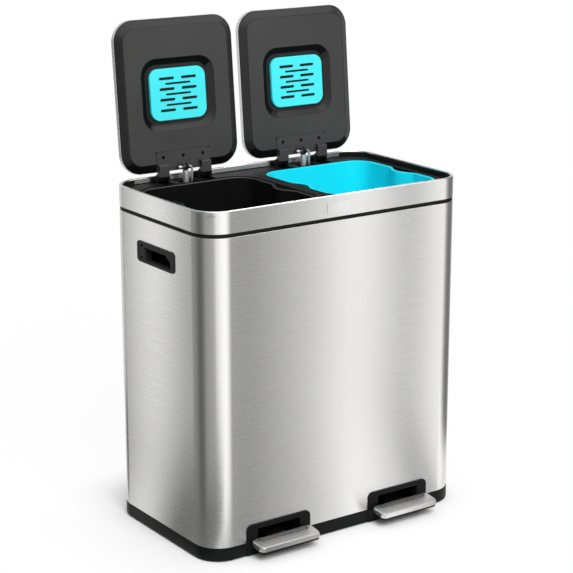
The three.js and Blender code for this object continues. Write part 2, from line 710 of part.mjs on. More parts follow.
// Moulded frame round the slot that the pedal lever comes out of.
function pedalFrame(name, side) {
  const x = side * pedalX;
  const bottom = FOOT_HEIGHT + 0.4;
  const face = frontY - PEDAL_FRAME_PROUD;
  const back = frontY + PEDAL_FRAME_DEPTH;
  const slotHeight = PEDAL_SLOT_TOP - PEDAL_SLOT_BOTTOM;
  const slotZ = (PEDAL_SLOT_TOP + PEDAL_SLOT_BOTTOM) / 2;
  const plateFront = alongY(pedalFrameOutline(x, 0.8, bottom), face, face + 0.8);
  const plate = alongY(pedalFrameOutline(x, 0, bottom), face + 0.6, frontY - BASE_PROUD - FIT);
  const sleeve = alongY(pedalFrameOutline(x, PEDAL_FRAME_LAP, bottom), face + 1, back);
  const hollow = alongY(pedalFrameOutline(x, PEDAL_FRAME_LAP + PEDAL_FRAME_WALL, bottom + PEDAL_FRAME_WALL),
    frontY + PEDAL_FRAME_WALL, back + 5);
  const slotWall = alongY(ring(PEDAL_SLOT_WIDTH + 2 * PEDAL_FRAME_WALL, slotHeight + 2 * PEDAL_FRAME_WALL,
    3 + PEDAL_FRAME_WALL, x, slotZ, SMALL_STEPS), face + 1, back);
  const slot = alongY(ring(PEDAL_SLOT_WIDTH, slotHeight, 3, x, slotZ, SMALL_STEPS), face - 5, back + 5);
  return mesh(name, joined(plateFront, plate, sleeve.subtract(hollow), slotWall).subtract(slot), finish.black);
}

// Side handle, modelled for the left wall and turned half a turn for the right one.
function handle(name, side) {
  const half = HANDLE_LENGTH / 2;
  const low = HANDLE_Z - HANDLE_HEIGHT / 2;
  const high = HANDLE_Z + HANDLE_HEIGHT / 2;
  const wallX = -sideX;
  const faceX = wallX - HANDLE_PROUD;
  const outline = (shrink) => ring(HANDLE_LENGTH - 2 * shrink, HANDLE_HEIGHT - 2 * shrink,
    HANDLE_RADIUS - shrink, HANDLE_Y, HANDLE_Z, SMALL_STEPS);
  const plateFront = alongX(outline(HANDLE_CHAMFER), faceX, faceX + HANDLE_CHAMFER);
  const plate = alongX(outline(0), faceX + HANDLE_CHAMFER - 0.2, wallX - FIT / 2);
  const sleeve = alongX(outline(HANDLE_LAP), wallX - 1, wallX + HANDLE_DEPTH);
  const y0 = HANDLE_Y - half + GRIP_FRONT;
  const y1 = HANDLE_Y + half - GRIP_REAR;
  const z0 = low + GRIP_BELOW;
  const z1 = high - GRIP_ABOVE;
  const opening = alongX([
    new THREE.Vector2(y0, z0), new THREE.Vector2(y1 - 3, z0), new THREE.Vector2(y1, z0 + 3),
    new THREE.Vector2(y1, z1), new THREE.Vector2(y0 + GRIP_SLANT[0], z1),
    new THREE.Vector2(y0, z1 - GRIP_SLANT[1]),
  ], faceX - 5, wallX + HANDLE_DEPTH + 5);
  const padY = (y1 + HANDLE_Y + half) / 2;
  const pad = alongX(ring(GRIP_REAR - 8, HANDLE_HEIGHT - 10, 3, padY, HANDLE_Z, SMALL_STEPS), faceX - 1, faceX + 1);
  const clips = [-1, 1].map((end) => block(faceX - 1, faceX + 3, padY - 5, padY + 3,
    HANDLE_Z + end * 12 - 1.5, HANDLE_Z + end * 12 + 1.5));
  const hollow = alongX(ring(GRIP_REAR - 12, HANDLE_HEIGHT - 14, 2, padY, HANDLE_Z, SMALL_STEPS),
    wallX + 3.5, wallX + HANDLE_DEPTH + 5);
  const made = cut(joined(plateFront, plate, sleeve), opening, pad, ...clips, hollow);
  return mesh(name, side > 0 ? made.rotate([0, 0, 180]) : made, finish.black);
}

// ---------------------------------------------------------------- buckets

// Bucket outline at one height: a rounded rectangle whose side walls draw in at the finger grips.
function bucketRing(side, inset, grip) {
  const steps = 4;
  const base = ring(flangeWidth - 2 * inset, flangeDepth - 2 * inset, BUCKET_RADIUS - inset, 0, 0, steps);
  const half = flangeWidth / 2 - inset;
  const dent = (from, to, sign) => {
    const points = [];
    for (let i = 0; i <= 6; i += 1) {
      const t = from + (to - from) * i / 6;
      const bump = Math.cos(t * Math.PI / 2) ** 1.4;
      points.push(new THREE.Vector2(sign * (half - grip * bump), GRIP_Y + t * GRIP_HALF));
    }
    return points;
  };
  const perCorner = steps + 1;
  return [
    ...base.slice(0, 2 * perCorner), ...dent(1, -1, -1), ...base.slice(2 * perCorner), ...dent(-1, 1, 1),
  ].map((p) => new THREE.Vector2(p.x + side * bucketX, p.y + bucketY));
}

function bucket(name, side, look) {
  const gripAt = (z) => {
    const below = bucketRim - z;
    if (below <= GRIP_HEIGHT) return GRIP_DEPTH;
    const t = Math.min((below - GRIP_HEIGHT) / (GRIP_FADE_HEIGHT - GRIP_HEIGHT), 1);
    return GRIP_DEPTH * (1 - t) ** 2 * (1 + 2 * t);
  };
  const height = bucketRim - BUCKET_FLOOR_Z;
  const taperAt = (z) => BUCKET_TAPER * (bucketRim - z) / height;
  const under = bucketRim - FLANGE_THICKNESS;
  const level = (z, wall, z1 = z) => ({
    points: bucketRing(side, FLANGE_WIDTH + wall + taperAt(z), gripAt(z)), z: z1,
  });
  const stages = [1, 0.5, 0].map((share) => bucketRim - GRIP_HEIGHT - share * (GRIP_FADE_HEIGHT - GRIP_HEIGHT));
  const corner = BUCKET_CORNER;
  const inside = FLANGE_WIDTH + BUCKET_TAPER + BUCKET_WALL + corner;
  const rings = [
    { points: bucketRing(side, FLANGE_WIDTH + BUCKET_TAPER + corner, 0), z: BUCKET_FLOOR_Z },
    level(BUCKET_FLOOR_Z + corner, 0),
    ...stages.map((z) => level(z, 0)),
    level(under, 0),
    { points: bucketRing(side, 0, GRIP_DEPTH), z: under },
    { points: bucketRing(side, 0, GRIP_DEPTH), z: bucketRim },
    level(bucketRim, BUCKET_WALL),
    ...stages.reverse().map((z) => level(z, BUCKET_WALL)),
    level(BUCKET_FLOOR_Z + corner + BUCKET_WALL, BUCKET_WALL),
    { points: bucketRing(side, inside, 0), z: BUCKET_FLOOR_Z + BUCKET_WALL },
  ];
  return mesh(name, loft(rings), look);
}

// ---------------------------------------------------------------- lids (in the lid frame)

const lidRing = (inset, z) => ({
  points: ring(lidWidth - 2 * inset, lidLength - 2 * inset, LID_RADIUS - inset, 0, lidCentreY), z,
});

// Steel cover: flat top, rounded edge, skirt.
function lidCover(name) {
  const dome = (inset, top, radius) => {
    const rings = [lidRing(inset, lidEdgeZ - (inset ? 5 : 0))];
    for (let i = 0; i <= SMALL_STEPS; i += 1) {
      const a = i / SMALL_STEPS * Math.PI / 2;
      rings.push(lidRing(inset + radius * (1 - Math.cos(a)), top - radius * (1 - Math.sin(a))));
    }
    return loft(rings);
  };
  const outer = dome(0, lidTopZ, LID_EDGE_ROUND);
  const inner = dome(SHEET, lidTopZ - SHEET, LID_EDGE_ROUND - SHEET);
  return mesh(name, outer.subtract(inner), finish.steel);
}

function recessRing(margin, z) {
  return {
    points: ring(CAP_WIDTH + 2 * margin, CAP_LENGTH + 2 * margin, CAP_RADIUS + 0.7 * margin, 0, filterY,
      SMALL_STEPS),
    z,
  };
}

// Black inner moulding: bevelled border, raised face, basin for the filter cartridge.
function lidLiner(name) {
  const edge = SHEET + FIT;
  const backZ = lidTopZ - SHEET - LID_EDGE_ROUND;
  const outer = loft([
    lidRing(edge, backZ), lidRing(edge, lidEdgeZ + LINER_SOFT_EDGE), lidRing(edge + LINER_SOFT_EDGE, lidEdgeZ),
    lidRing(edge + LINER_BEVEL - LINER_SOFT_CREST, plateauZ + LINER_SOFT_CREST / 2),
    lidRing(edge + LINER_BEVEL + LINER_SOFT_CREST, plateauZ),
  ]);
  const wall = edge + LINER_WALL;
  const hollow = loft([
    lidRing(wall, backZ + 1), lidRing(wall, lidEdgeZ + LINER_WALL),
    lidRing(wall + LINER_BEVEL, plateauZ + LINER_WALL),
  ]);
  const floorZ = plateauZ + RECESS_DEPTH;
  const low = RECESS_MARGIN - RECESS_SLOPE;
  const basin = loft([
    recessRing(RECESS_MARGIN + LINER_WALL, plateauZ + RECESS_LIP / 3),
    recessRing(low + LINER_WALL, floorZ + LINER_WALL),
  ]);
  const recess = loft([
    recessRing(RECESS_MARGIN + RECESS_LIP, plateauZ - RECESS_LIP * 2 / 3),
    recessRing(RECESS_MARGIN, plateauZ + RECESS_LIP / 3), recessRing(low, floorZ),
  ]);
  const half = BRACKET_WIDTH / 2;
  const backing = block(-half, half, plateFrontY - LINER_WALL, plateRearY - FIT, plateBackZ,
    plateBackZ + FIT + LINER_WALL);
  const seat = block(-half - FIT, half + FIT, plateFrontY - FIT, plateRearY + 5, plateauZ - 5, plateBackZ + FIT);
  let liner = joined(outer.subtract(hollow), basin, backing).subtract(recess).subtract(seat);
  for (const x of [-SCREW_X, 0, SCREW_X]) {
    liner = liner.subtract(post(SCREW_SHANK + FIT, x, plateRearY - SCREW_LINE, plateBackZ - 1, plateBackZ + 10, 8));
  }
  return mesh(name, liner, finish.liner);
}

const capZ = plateauZ + CAP_BELOW_PLATEAU;
const capBackZ = plateauZ + RECESS_DEPTH - FIT;

// Slotted cartridge cap that clips into the basin.
function filterCap(name) {
  const capRing = (inset, z) => ({
    points: ring(CAP_WIDTH - 2 * inset, CAP_LENGTH - 2 * inset, CAP_RADIUS - inset, 0, filterY, 4), z,
  });
  let cap = loft([capRing(0, capBackZ), capRing(0, capZ + 1), capRing(0.3, capZ + 0.3), capRing(1, capZ)]);
  cap = cap.subtract(loft([capRing(CAP_WALL, capBackZ + 1), capRing(CAP_WALL, capZ + CAP_WALL)]));
  const slot = ([length, width], x, y) => slab(ring(length, width, width / 2, x, filterY + y, 1), capZ - 1, capZ + 4);
  for (let row = 0; row < 4; row += 1) {
    const y = (row - 1.5) * SLOT_PITCH;
    cap = cut(cap, slot(PAIR_SLOT, -PAIR_SLOT_X, y), slot(PAIR_SLOT, PAIR_SLOT_X, y));
  }
  for (let row = -1; row <= 1; row += 1) cap = cut(cap, slot(SINGLE_SLOT, 0, row * SLOT_PITCH));
  return mesh(name, cap, finish.cyan);
}

function carbonFilter(name) {
  const inset = CAP_WALL + 0.6;
  const points = ring(CAP_WIDTH - 2 * inset, CAP_LENGTH - 2 * inset, CAP_RADIUS - inset, 0, filterY, 4);
  return mesh(name, slab(points, capZ + CAP_WALL + FIT, capBackZ), finish.felt);
}

// Hinge bracket: plate, two hooked arms with barrels, clevis for the link pin.
function hingeBracket(name) {
  const half = BRACKET_WIDTH / 2;
  const corners = ring(BRACKET_WIDTH, BRACKET_LENGTH, BRACKET_RADIUS, 0, (plateRearY + plateFrontY) / 2, SMALL_STEPS);
  let bracket = joined(slab(corners, plateZ, plateBackZ),
    block(-half, half, plateRearY - BRACKET_HEEL, plateRearY, plateZ, plateBackZ));
  const arm = [
    [-HOOK_FRONT - HOOK_TOE, plateZ + BRACKET_PROUD], [-HOOK_FRONT - HOOK_TOE, plateZ - HOOK_TOE_STEP],
    [-HOOK_FRONT, -HOOK_REACH], ...HOOK_HEEL.map(([y, above]) => [y, above - HOOK_REACH]),
    [BARREL_RADIUS, 0], [0, BARREL_RADIUS], HOOK_BACK[0],
    ...HOOK_BACK.slice(1).map(([y]) => [y, plateBackZ]),
  ].map(([y, z]) => new THREE.Vector2(y, z));
  for (const hook of [-1, 1]) {
    const x0 = hook * HOOK_X - HOOK_WIDTH / 2;
    const x1 = hook * HOOK_X + HOOK_WIDTH / 2;
    bracket = joined(bracket, alongX(arm, x0, x1), rodAlongX(BARREL_RADIUS, x0, x1, 0, 0, 12));
    bracket = bracket.subtract(rodAlongX(HINGE_PIN_RADIUS + PIN_PLAY, x0 - 1, x1 + 1, 0, 0, 10));
  }
  const notch = block(WIRE_LEFT - BALL_RADIUS, CLEVIS_GAP / 2 + CLEVIS_EAR, -NOTCH_FRONT, plateRearY - NOTCH_REAR,
    plateZ - 5, plateZ + NOTCH_DEPTH);
  bracket = bracket.subtract(notch);
  for (const end of [-1, 1]) {
    const near = CLEVIS_GAP / 2;
    const [x0, x1] = end < 0 ? [-near - CLEVIS_EAR, -near] : [near, near + CLEVIS_EAR];
    bracket = joined(bracket,
      block(x0, x1, -LINK_AHEAD - CLEVIS_RADIUS, -LINK_AHEAD + CLEVIS_RADIUS, -LINK_BELOW, plateBackZ - 0.5),
      rodAlongX(CLEVIS_RADIUS, x0, x1, -LINK_AHEAD, -LINK_BELOW));
  }
  bracket = bracket.subtract(rodAlongX(WIRE_RADIUS + PIN_PLAY, -15, 15, -LINK_AHEAD, -LINK_BELOW, 10));
  for (const x of [-SCREW_X, 0, SCREW_X]) {
    const y = plateRearY - SCREW_LINE;
    bracket = cut(bracket, post(SCREW_SHANK + 0.5, x, y, plateZ - 1, plateBackZ + 1, 8),
      post(SCREW_HEAD_RADIUS + 0.4, x, y, plateZ - 1, plateZ + SCREW_HEAD, 10));
  }
  return mesh(name, bracket, finish.liner);
}

function bracketScrew(name, x) {
  const low = plateZ + 0.3;
  const seat = plateZ + SCREW_HEAD - 0.1;
  const profile = [
    [0, low], [SCREW_HEAD_RADIUS, low], [SCREW_HEAD_RADIUS, seat],
    [SCREW_SHANK, seat], [SCREW_SHANK, plateBackZ + SCREW_POINT], [0, plateBackZ + SCREW_POINT],
  ];
  return mesh(name, turned(profile, 8).translate([x, plateRearY - SCREW_LINE, 0]), finish.dark);
}

// ---------------------------------------------------------------- link and damper (origin on the link pin)

function pushRod(name) {
  const path = [[WIRE_LEFT, 0], [WIRE_X, 0], [WIRE_X, -rodLength], [WIRE_X - WIRE_FOOT, -rodLength]];
  return mesh(name, wire(path, WIRE_RADIUS, WIRE_BEND), finish.wire);
}

function rodCap(name) {
  const ball = new THREE.SphereGeometry(BALL_RADIUS, 10, 6);
  ball.translate(WIRE_LEFT, 0, 0);
  const bore = rodAlongX(WIRE_RADIUS + PIN_PLAY, WIRE_LEFT - 0.1, WIRE_LEFT + BALL_RADIUS + 1, 0, 0, 10);
  return mesh(name, solid(ball).subtract(bore), finish.wire);
}

function damperEye(name) {
  const half = DAMPER_EYE_WIDTH / 2;
  const eye = joined(
    rodAlongX(DAMPER_EYE_RADIUS, -half, half, 0, 0, 12),
    block(-half, half, -4, 4, -DAMPER_TOP + FIT, 0),
  ).subtract(rodAlongX(WIRE_RADIUS + PIN_PLAY, -half - 1, half + 1, 0, 0, 10));
  return mesh(name, eye, finish.black);
}

function damperTube(name) {
  const bottom = -DAMPER_TOP - DAMPER_TUBE;
  const bore = DAMPER_ROD_RADIUS + DAMPER_BORE_PLAY;
  const roof = -DAMPER_TOP - 8;
  const profile = [
    [0, roof], [0, -DAMPER_TOP], [DAMPER_RADIUS - 1, -DAMPER_TOP], [DAMPER_RADIUS, -DAMPER_TOP - 1],
    [DAMPER_RADIUS, bottom + 1], [DAMPER_RADIUS - 1, bottom], [bore, bottom], [bore, roof], [0, roof],
  ];
  return mesh(name, turned(profile, 12), finish.wire);
}

function damperRod(name) {
  const half = DAMPER_EYE_WIDTH / 2;
  const top = -DAMPER_TOP - DAMPER_TUBE + 30;
  const rod = joined(
    post(DAMPER_ROD_RADIUS, 0, 0, -damperLength, top, 10),
    rodAlongX(DAMPER_EYE_RADIUS, -half, half, 0, -damperLength),
    rodAlongX(WIRE_RADIUS, -half - 4, half + 4, 0, -damperLength, 8),
  );
  return mesh(name, rod, finish.wire);
}

// Bracket on the rear wall, slotted where the damper rod's cross pin rides.
function damperAnchor(name, side) {
  const wallY = rearY - SHEET - FIT;
  const area = reach(damperFoot);
  const play = WIRE_RADIUS + SLOT_PLAY;
  const x = side * lidX;
  const z0 = area.min.y - play - SLOT_MARGIN;
  const z1 = area.max.y + play + SLOT_MARGIN;
  const y0 = area.min.x - play - 4;
  const near = ANCHOR_GAP / 2;
  const far = near + ANCHOR_SHEET;
  const slot = block(x - far - 2, x + far + 2, area.min.x - play, area.max.x + play,
    area.min.y - play, area.max.y + play);
  const anchor = joined(
    block(x - far - 10, x + far + 10, wallY - ANCHOR_SHEET, wallY, z0, z1),
    block(x - far, x - near, y0, wallY - 1, z0, z1),
    block(x + near, x + far, y0, wallY - 1, z0, z1),
  ).subtract(slot);
  return mesh(name, anchor, finish.wire);
}

// ---------------------------------------------------------------- pedals (origin on the pivot, untilted)

const pedalRearY = -PEDAL_REACH;
const pedalMidY = pedalRearY - PEDAL_LENGTH / 2;
const pedalRing = (inset, z) => ({
  points: ring(PEDAL_WIDTH - 2 * inset, PEDAL_LENGTH - 2 * inset, PEDAL_RADIUS - inset, 0, pedalMidY, 4), z,
});

// Steel tread with rolled edges and a pressed step near its rear.
function pedalPlate(name) {
  const low = PEDAL_RISE - PEDAL_HEIGHT;
  const outer = loft([
    pedalRing(0, low), pedalRing(0, PEDAL_RISE - PEDAL_EDGE), pedalRing(0.9, PEDAL_RISE - 0.9),
    pedalRing(PEDAL_EDGE, PEDAL_RISE),
  ]);
  const inner = loft([
    pedalRing(PEDAL_SKIN, low - 5), pedalRing(PEDAL_SKIN, PEDAL_RISE - PEDAL_EDGE - PEDAL_SKIN / 2),
    pedalRing(PEDAL_EDGE + 0.4, PEDAL_RISE - PEDAL_SKIN),
  ]);
  const step = block(-PEDAL_WIDTH / 2 + 14, PEDAL_WIDTH / 2 - 14, pedalRearY - 13, pedalRearY - 4,
    PEDAL_RISE - 0.35, PEDAL_RISE + 1);
  const back = block(-LEVER_WIDTH / 2 - 1, LEVER_WIDTH / 2 + 1, pedalRearY - 4, pedalRearY + 4,
    low - 5, LEVER_TOP + FIT);
  return mesh(name, cut(outer, inner, step, back), finish.steel);
}

// Black core under the tread; the lever is let into it.
function pedalCore(name) {
  const gap = PEDAL_SKIN + FIT;
  const low = PEDAL_RISE - PEDAL_HEIGHT - PEDAL_LIP;
  const core = loft([
    pedalRing(gap + 1, low), pedalRing(gap, low + 1),
    pedalRing(gap, PEDAL_RISE - PEDAL_EDGE - PEDAL_SKIN), pedalRing(PEDAL_EDGE + 1, PEDAL_RISE - PEDAL_SKIN - FIT),
  ]);
  const half = LEVER_WIDTH / 2 + FIT;
  return mesh(name, core.subtract(block(-half, half, pedalRearY - LEVER_INTO_PEDAL, pedalRearY + 5,
    LEVER_TOP - LEVER_SHEET - FIT, LEVER_TOP + FIT)), finish.black);
}

// Channel-section lever: strap, flanges down to the pivot, slotted ear for the push rod's foot.
function pedalLever(name, rodX) {
  const half = LEVER_WIDTH / 2;
  const area = reach(footInLever);
  const play = WIRE_RADIUS + SLOT_PLAY;
  const front = pedalRearY - LEVER_INTO_PEDAL + FIT;
  const rear = area.max.x + play + SLOT_MARGIN;
  const low = -LEVER_FLANGE;
  const nose = pedalRearY + LEVER_NOSE;
  const flange = [
    [nose, LEVER_TOP], [nose + LEVER_NOSE_RISE, LEVER_TOP - LEVER_NOSE_RISE],
    [-LEVER_FLANGE_LENGTH / 2, low], [LEVER_FLANGE_LENGTH / 2, low],
    [rear - LEVER_TAIL - LEVER_TAIL_RISE / 2, LEVER_TOP - LEVER_NOSE_RISE],
    [rear - LEVER_TAIL + LEVER_TAIL_RISE / 2, LEVER_TOP],
  ].map(([y, z]) => new THREE.Vector2(y, z));
  const lowSlot = area.min.y - play;
  const highSlot = area.max.y + play;
  const ear = [
    [area.min.x - play - SLOT_MARGIN, lowSlot - SLOT_MARGIN], [rear, lowSlot - SLOT_MARGIN],
    [rear, LEVER_TOP], [rear - LEVER_TAIL - LEVER_TAIL_RISE, LEVER_TOP],
  ].map(([y, z]) => new THREE.Vector2(y, z));
  const earX = rodX - WIRE_FOOT / 2 - 1;
  let lever = joined(
    block(-half, half, front, rear - LEVER_TAIL, LEVER_TOP - LEVER_SHEET, LEVER_TOP),
    alongX(flange, -half, -half + LEVER_SHEET),
    alongX(flange, half - LEVER_SHEET, half),
    alongX(ear, earX - LEVER_SHEET / 2, earX + LEVER_SHEET / 2),
  );
  lever = cut(lever,
    block(earX - 5, earX + 5, area.min.x - play, area.max.x + play, lowSlot, highSlot),
    rodAlongX(PIVOT_RADIUS + PIN_PLAY, -half - 1, half + 1, 0, 0));
  return mesh(name, lever, finish.wire);
}

function pivotPin(name, side) {
  const half = LEVER_WIDTH / 2 + RUN + PIVOT_EAR;
  const x = side * pedalX;
  const head = rodAlongX(PIVOT_RADIUS + 1.6, x + half + 0.2, x + half + 2, pivotY, PIVOT_Z);
  const pin = rodAlongX(PIVOT_RADIUS, x - half - 1, x + half + 1, pivotY, PIVOT_Z);
  return mesh(name, joined(pin, head), finish.wire);
}

function hingePin(name, side, hook) {
  const half = HOOK_WIDTH / 2 + RUN + HINGE_EAR;
  const x = side * lidX + hook * HOOK_X;
  return mesh(name, rodAlongX(HINGE_PIN_RADIUS, x - half, x + half, hingeY, hingeZ, 10), finish.wire);
}

// ---------------------------------------------------------------- assembly

function placed(children, x, y, z, tilt) {
  const group = new THREE.Group();
  group.position.set(x, y, z);
  group.rotation.x = rad(tilt);
  group.add(...children);
  return group;
}

const bin = new THREE.Group();
bin.add(bodyShell(), rimBand(), topFrame(), baseTray(), ...feet(), frontPlate());
bin.add(bucket('bucket_left', -1, finish.black), bucket('bucket_right', 1, finish.cyan));

for (const [hand, side] of [['left', -1], ['right', 1]]) {
  bin.add(
    pedalFrame(`pedal_frame_${hand}`, side), handle(`handle_${hand}`, side),
    pivotPin(`pivot_pin_${hand}`, side), damperAnchor(`damper_anchor_${hand}`, side),
    hingePin(`hinge_pin_${hand}_a`, side, -1), hingePin(`hinge_pin_${hand}_b`, side, 1),
    lidBuffer(`lid_buffer_${hand}_a`, side, -1), lidBuffer(`lid_buffer_${hand}_b`, side, 1),
  );
  bin.add(placed([
    lidCover(`lid_cover_${hand}`), lidLiner(`lid_liner_${hand}`), filterCap(`filter_cap_${hand}`),
    carbonFilter(`carbon_filter_${hand}`), hingeBracket(`hinge_bracket_${hand}`),
    bracketScrew(`bracket_screw_${hand}_a`, -SCREW_X), bracketScrew(`bracket_screw_${hand}_b`, 0),
    bracketScrew(`bracket_screw_${hand}_c`, SCREW_X),
  ], side * lidX, hingeY, hingeZ, -LID_OPEN));
  bin.add(placed([
    pushRod(`push_rod_${hand}`), rodCap(`rod_cap_${hand}`), damperEye(`damper_eye_${hand}`),
    damperTube(`damper_tube_${hand}`), damperRod(`damper_rod_${hand}`),
  ], side * lidX, linkOpen.x, linkOpen.y, 0));
  bin.add(placed([
    pedalPlate(`pedal_plate_${hand}`), pedalCore(`pedal_core_${hand}`),
    pedalLever(`pedal_lever_${hand}`, side * lidX + WIRE_X - side * pedalX),
  ], side * pedalX, pivotY, PIVOT_Z, PEDAL_TILT));
}

// The origin is midway between the pedals' front and the open lids' back, on the floor.
const tilt = rad(PEDAL_TILT);
const pedalFront = pivotY - (PEDAL_REACH + PEDAL_LENGTH) * Math.cos(tilt)
  - (PEDAL_RISE - PEDAL_EDGE) * Math.sin(tilt);
const lidBack = swing(new THREE.Vector2(-HINGE_BEHIND_LID - lidLength + LID_EDGE_ROUND, lidTopZ), LID_OPEN).x;
bin.position.y = -(pedalFront + lidBack) / 2;

export default bin;
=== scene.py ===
"""Looks of a double recycling bin: brushed steel, black and cyan mouldings, bright linkage.

Sizes are in millimetres. Most shapes are made in one of five places and then set into the frame's metres:
BODY (centred on the body, floor at zero), a bucket's own frame (BODY moved to the bucket's middle), a lid's
own frame (closed, origin on its hinge axis), a link's own frame (origin on the link pin) and a pedal's own
frame (level, origin on its pivot).
"""

import json
import math

import bmesh
import bpy
from mathutils import Matrix, Vector


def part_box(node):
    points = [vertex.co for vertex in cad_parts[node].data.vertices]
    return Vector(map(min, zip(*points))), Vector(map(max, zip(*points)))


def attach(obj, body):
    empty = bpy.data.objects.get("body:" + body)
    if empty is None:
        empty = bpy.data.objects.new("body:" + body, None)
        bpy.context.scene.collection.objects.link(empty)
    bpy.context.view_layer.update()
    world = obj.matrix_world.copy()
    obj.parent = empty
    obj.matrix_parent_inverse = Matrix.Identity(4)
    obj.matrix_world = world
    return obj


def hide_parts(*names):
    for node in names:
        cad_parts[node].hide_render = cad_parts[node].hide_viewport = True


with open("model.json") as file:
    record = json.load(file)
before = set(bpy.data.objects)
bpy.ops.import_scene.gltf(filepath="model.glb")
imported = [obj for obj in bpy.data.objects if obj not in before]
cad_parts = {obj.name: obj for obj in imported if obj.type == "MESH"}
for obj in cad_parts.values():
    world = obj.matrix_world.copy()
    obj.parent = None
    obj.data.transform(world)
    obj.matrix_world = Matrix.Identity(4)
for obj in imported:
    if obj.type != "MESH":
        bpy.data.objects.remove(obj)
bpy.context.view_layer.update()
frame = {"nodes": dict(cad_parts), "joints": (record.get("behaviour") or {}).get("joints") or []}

MM = 0.001
joints = {joint["name"]: joint for joint in frame["joints"]}
SIDES = (-1, 1)
HANDS = {-1: "left", 1: "right"}


def place(node):
    """Lowest and highest corner of a CAD node, in millimetres."""
    low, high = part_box(node)
    return low / MM, high / MM


# ---------------------------------------------------------------- sizes

shell_low, shell_high = place("body_shell")
band_low, band_high = place("rim_band")
bucket_low, bucket_high = place("bucket_right")
base_low, base_high = place("base_tray")
MID_Y = (shell_low.y + shell_high.y) / 2
BODY_WIDTH = shell_high.x - shell_low.x
BODY_DEPTH = shell_high.y - shell_low.y
SIDE_X = BODY_WIDTH / 2
FRONT_Y = -BODY_DEPTH / 2
REAR_Y = BODY_DEPTH / 2
RIM_TOP = band_high.z
BAND_BOTTOM = band_low.z
SHELL_TOP = shell_high.z
BASE_TOP = shell_low.z
FOOT_HEIGHT = base_low.z
BODY_RADIUS = 52
SHEET = 0.8                     # steel sheet
FIT = 0.3                       # clearance between fixed pieces
RUN = 0.75                      # and round moving ones
SHELL_LIP = 6                   # how far the shell's top edge turns in
GAP_TOP = BAND_BOTTOM + 0.4     # the thin black line between the rim band and the shell
GAP_LOW = SHELL_TOP - 0.6
COLLAR = 6.6                    # how far inside the body the black wall under the rim's roll stands

FOOT_X = 249
FOOT_Y = 125.5
FOOT_RADIUS = 15
FOOT_SEAT = 1.2
HANDLE_Y = 2.3
HANDLE_Z = 554
HANDLE_LENGTH = 131
HANDLE_HEIGHT = 40
HANDLE_RADIUS = 8
HANDLE_LAP = 3                  # how far its face laps over the edge of the shell's hole

LEDGE_Z = RIM_TOP - 11.5
BUCKET_RIM = bucket_high.z
BUCKET_FLOOR = bucket_low.z
FLANGE_WIDTH = bucket_high.x - bucket_low.x
FLANGE_DEPTH = bucket_high.y - bucket_low.y
BUCKET_X = (bucket_low.x + bucket_high.x) / 2
BUCKET_Y = (bucket_low.y + bucket_high.y) / 2 - MID_Y
BUCKET_RADIUS = 44
GRIP_DEPTH = 16                 # finger recess in each side wall
GRIP_HALF = 42
GRIP_Y = -8

HINGE = Vector(joints["lid_hinge_right"]["pos_m"]) / MM
LID_OPEN = -joints["lid_hinge_right"]["range_deg"][0]
LID_X = HINGE.x
HINGE_Y = HINGE.y - MID_Y
HINGE_Z = HINGE.z
LID_WIDTH = 264
LID_LENGTH = 293
LID_RADIUS = 42
LID_EDGE_Z = 2.2                # heights from the hinge axis, with the lid closed
LID_TOP_Z = 12.7
HINGE_BEHIND_LID = 11.7
LID_MID_Y = -HINGE_BEHIND_LID - LID_LENGTH / 2
PLATEAU_Z = -5.8                # the raised face of the inner moulding
BEVEL = 15
FILTER_Y = -HINGE_BEHIND_LID - 147.5
CAP_WIDTH = 124
CAP_LENGTH = 99
CAP_RADIUS = 19
CAP_Z = PLATEAU_Z + 1.4
RECESS_DEPTH = 8

PLATE_Z = PLATEAU_Z - 1         # the plate of the hinge bracket
PLATE_BACK_Z = PLATE_Z + 3.2
PLATE_REAR_Y = -HINGE_BEHIND_LID - 1.4
PLATE_FRONT_Y = PLATE_REAR_Y - 38
BRACKET_WIDTH = 120
HOOK_X = 47.7                   # a hook's middle, from the lid's
HOOK_WIDTH = 21.5
HOOK_REACH = 13.8               # how far it goes below the hinge axis
HOOK_FRONT = 25                 # how far ahead of the axis
HOOK_TOE = 4                    # and how much farther at the plate
BARREL = 6.5                    # its radius round the hinge pin
HOOK_BORE = 2.7
CLEVIS_HALF = 6.9               # outer and inner faces of the two cheeks that hold the link pin
CLEVIS_GAP = 3.5
SCREW_X = 44.5
SCREW_Y = PLATE_REAR_Y - 27
PIN_BORE = 2.55

LINK = Vector(joints["rod_pivot_right"]["pos_m"]) / MM
LINK_AHEAD = 18.3               # the link pin from the hinge axis, with the lid closed
LINK_BELOW = 13
EYE = 5                         # radius of the eyes round the link's pins
EYE_HALF = 3
WIRE = 2.5                      # radius of the push rod's wire
WIRE_X = 14                     # where it goes down, right of the lid's middle
WIRE_LEFT = -13                 # the left end of the pin that it makes
WIRE_FOOT = 20                  # its foot, bent back to the left
ROD_FOOT_Z = 60.6
ROD_LENGTH = LINK.z - ROD_FOOT_Z
DAMPER = 6.4                    # radius of the damper's tube
DAMPER_TOP = 6.6                # its upper end, below the link pin
DAMPER_TUBE = 150
DAMPER_FOOT_Z = 478
DAMPER_LENGTH = LINK.z - DAMPER_FOOT_Z

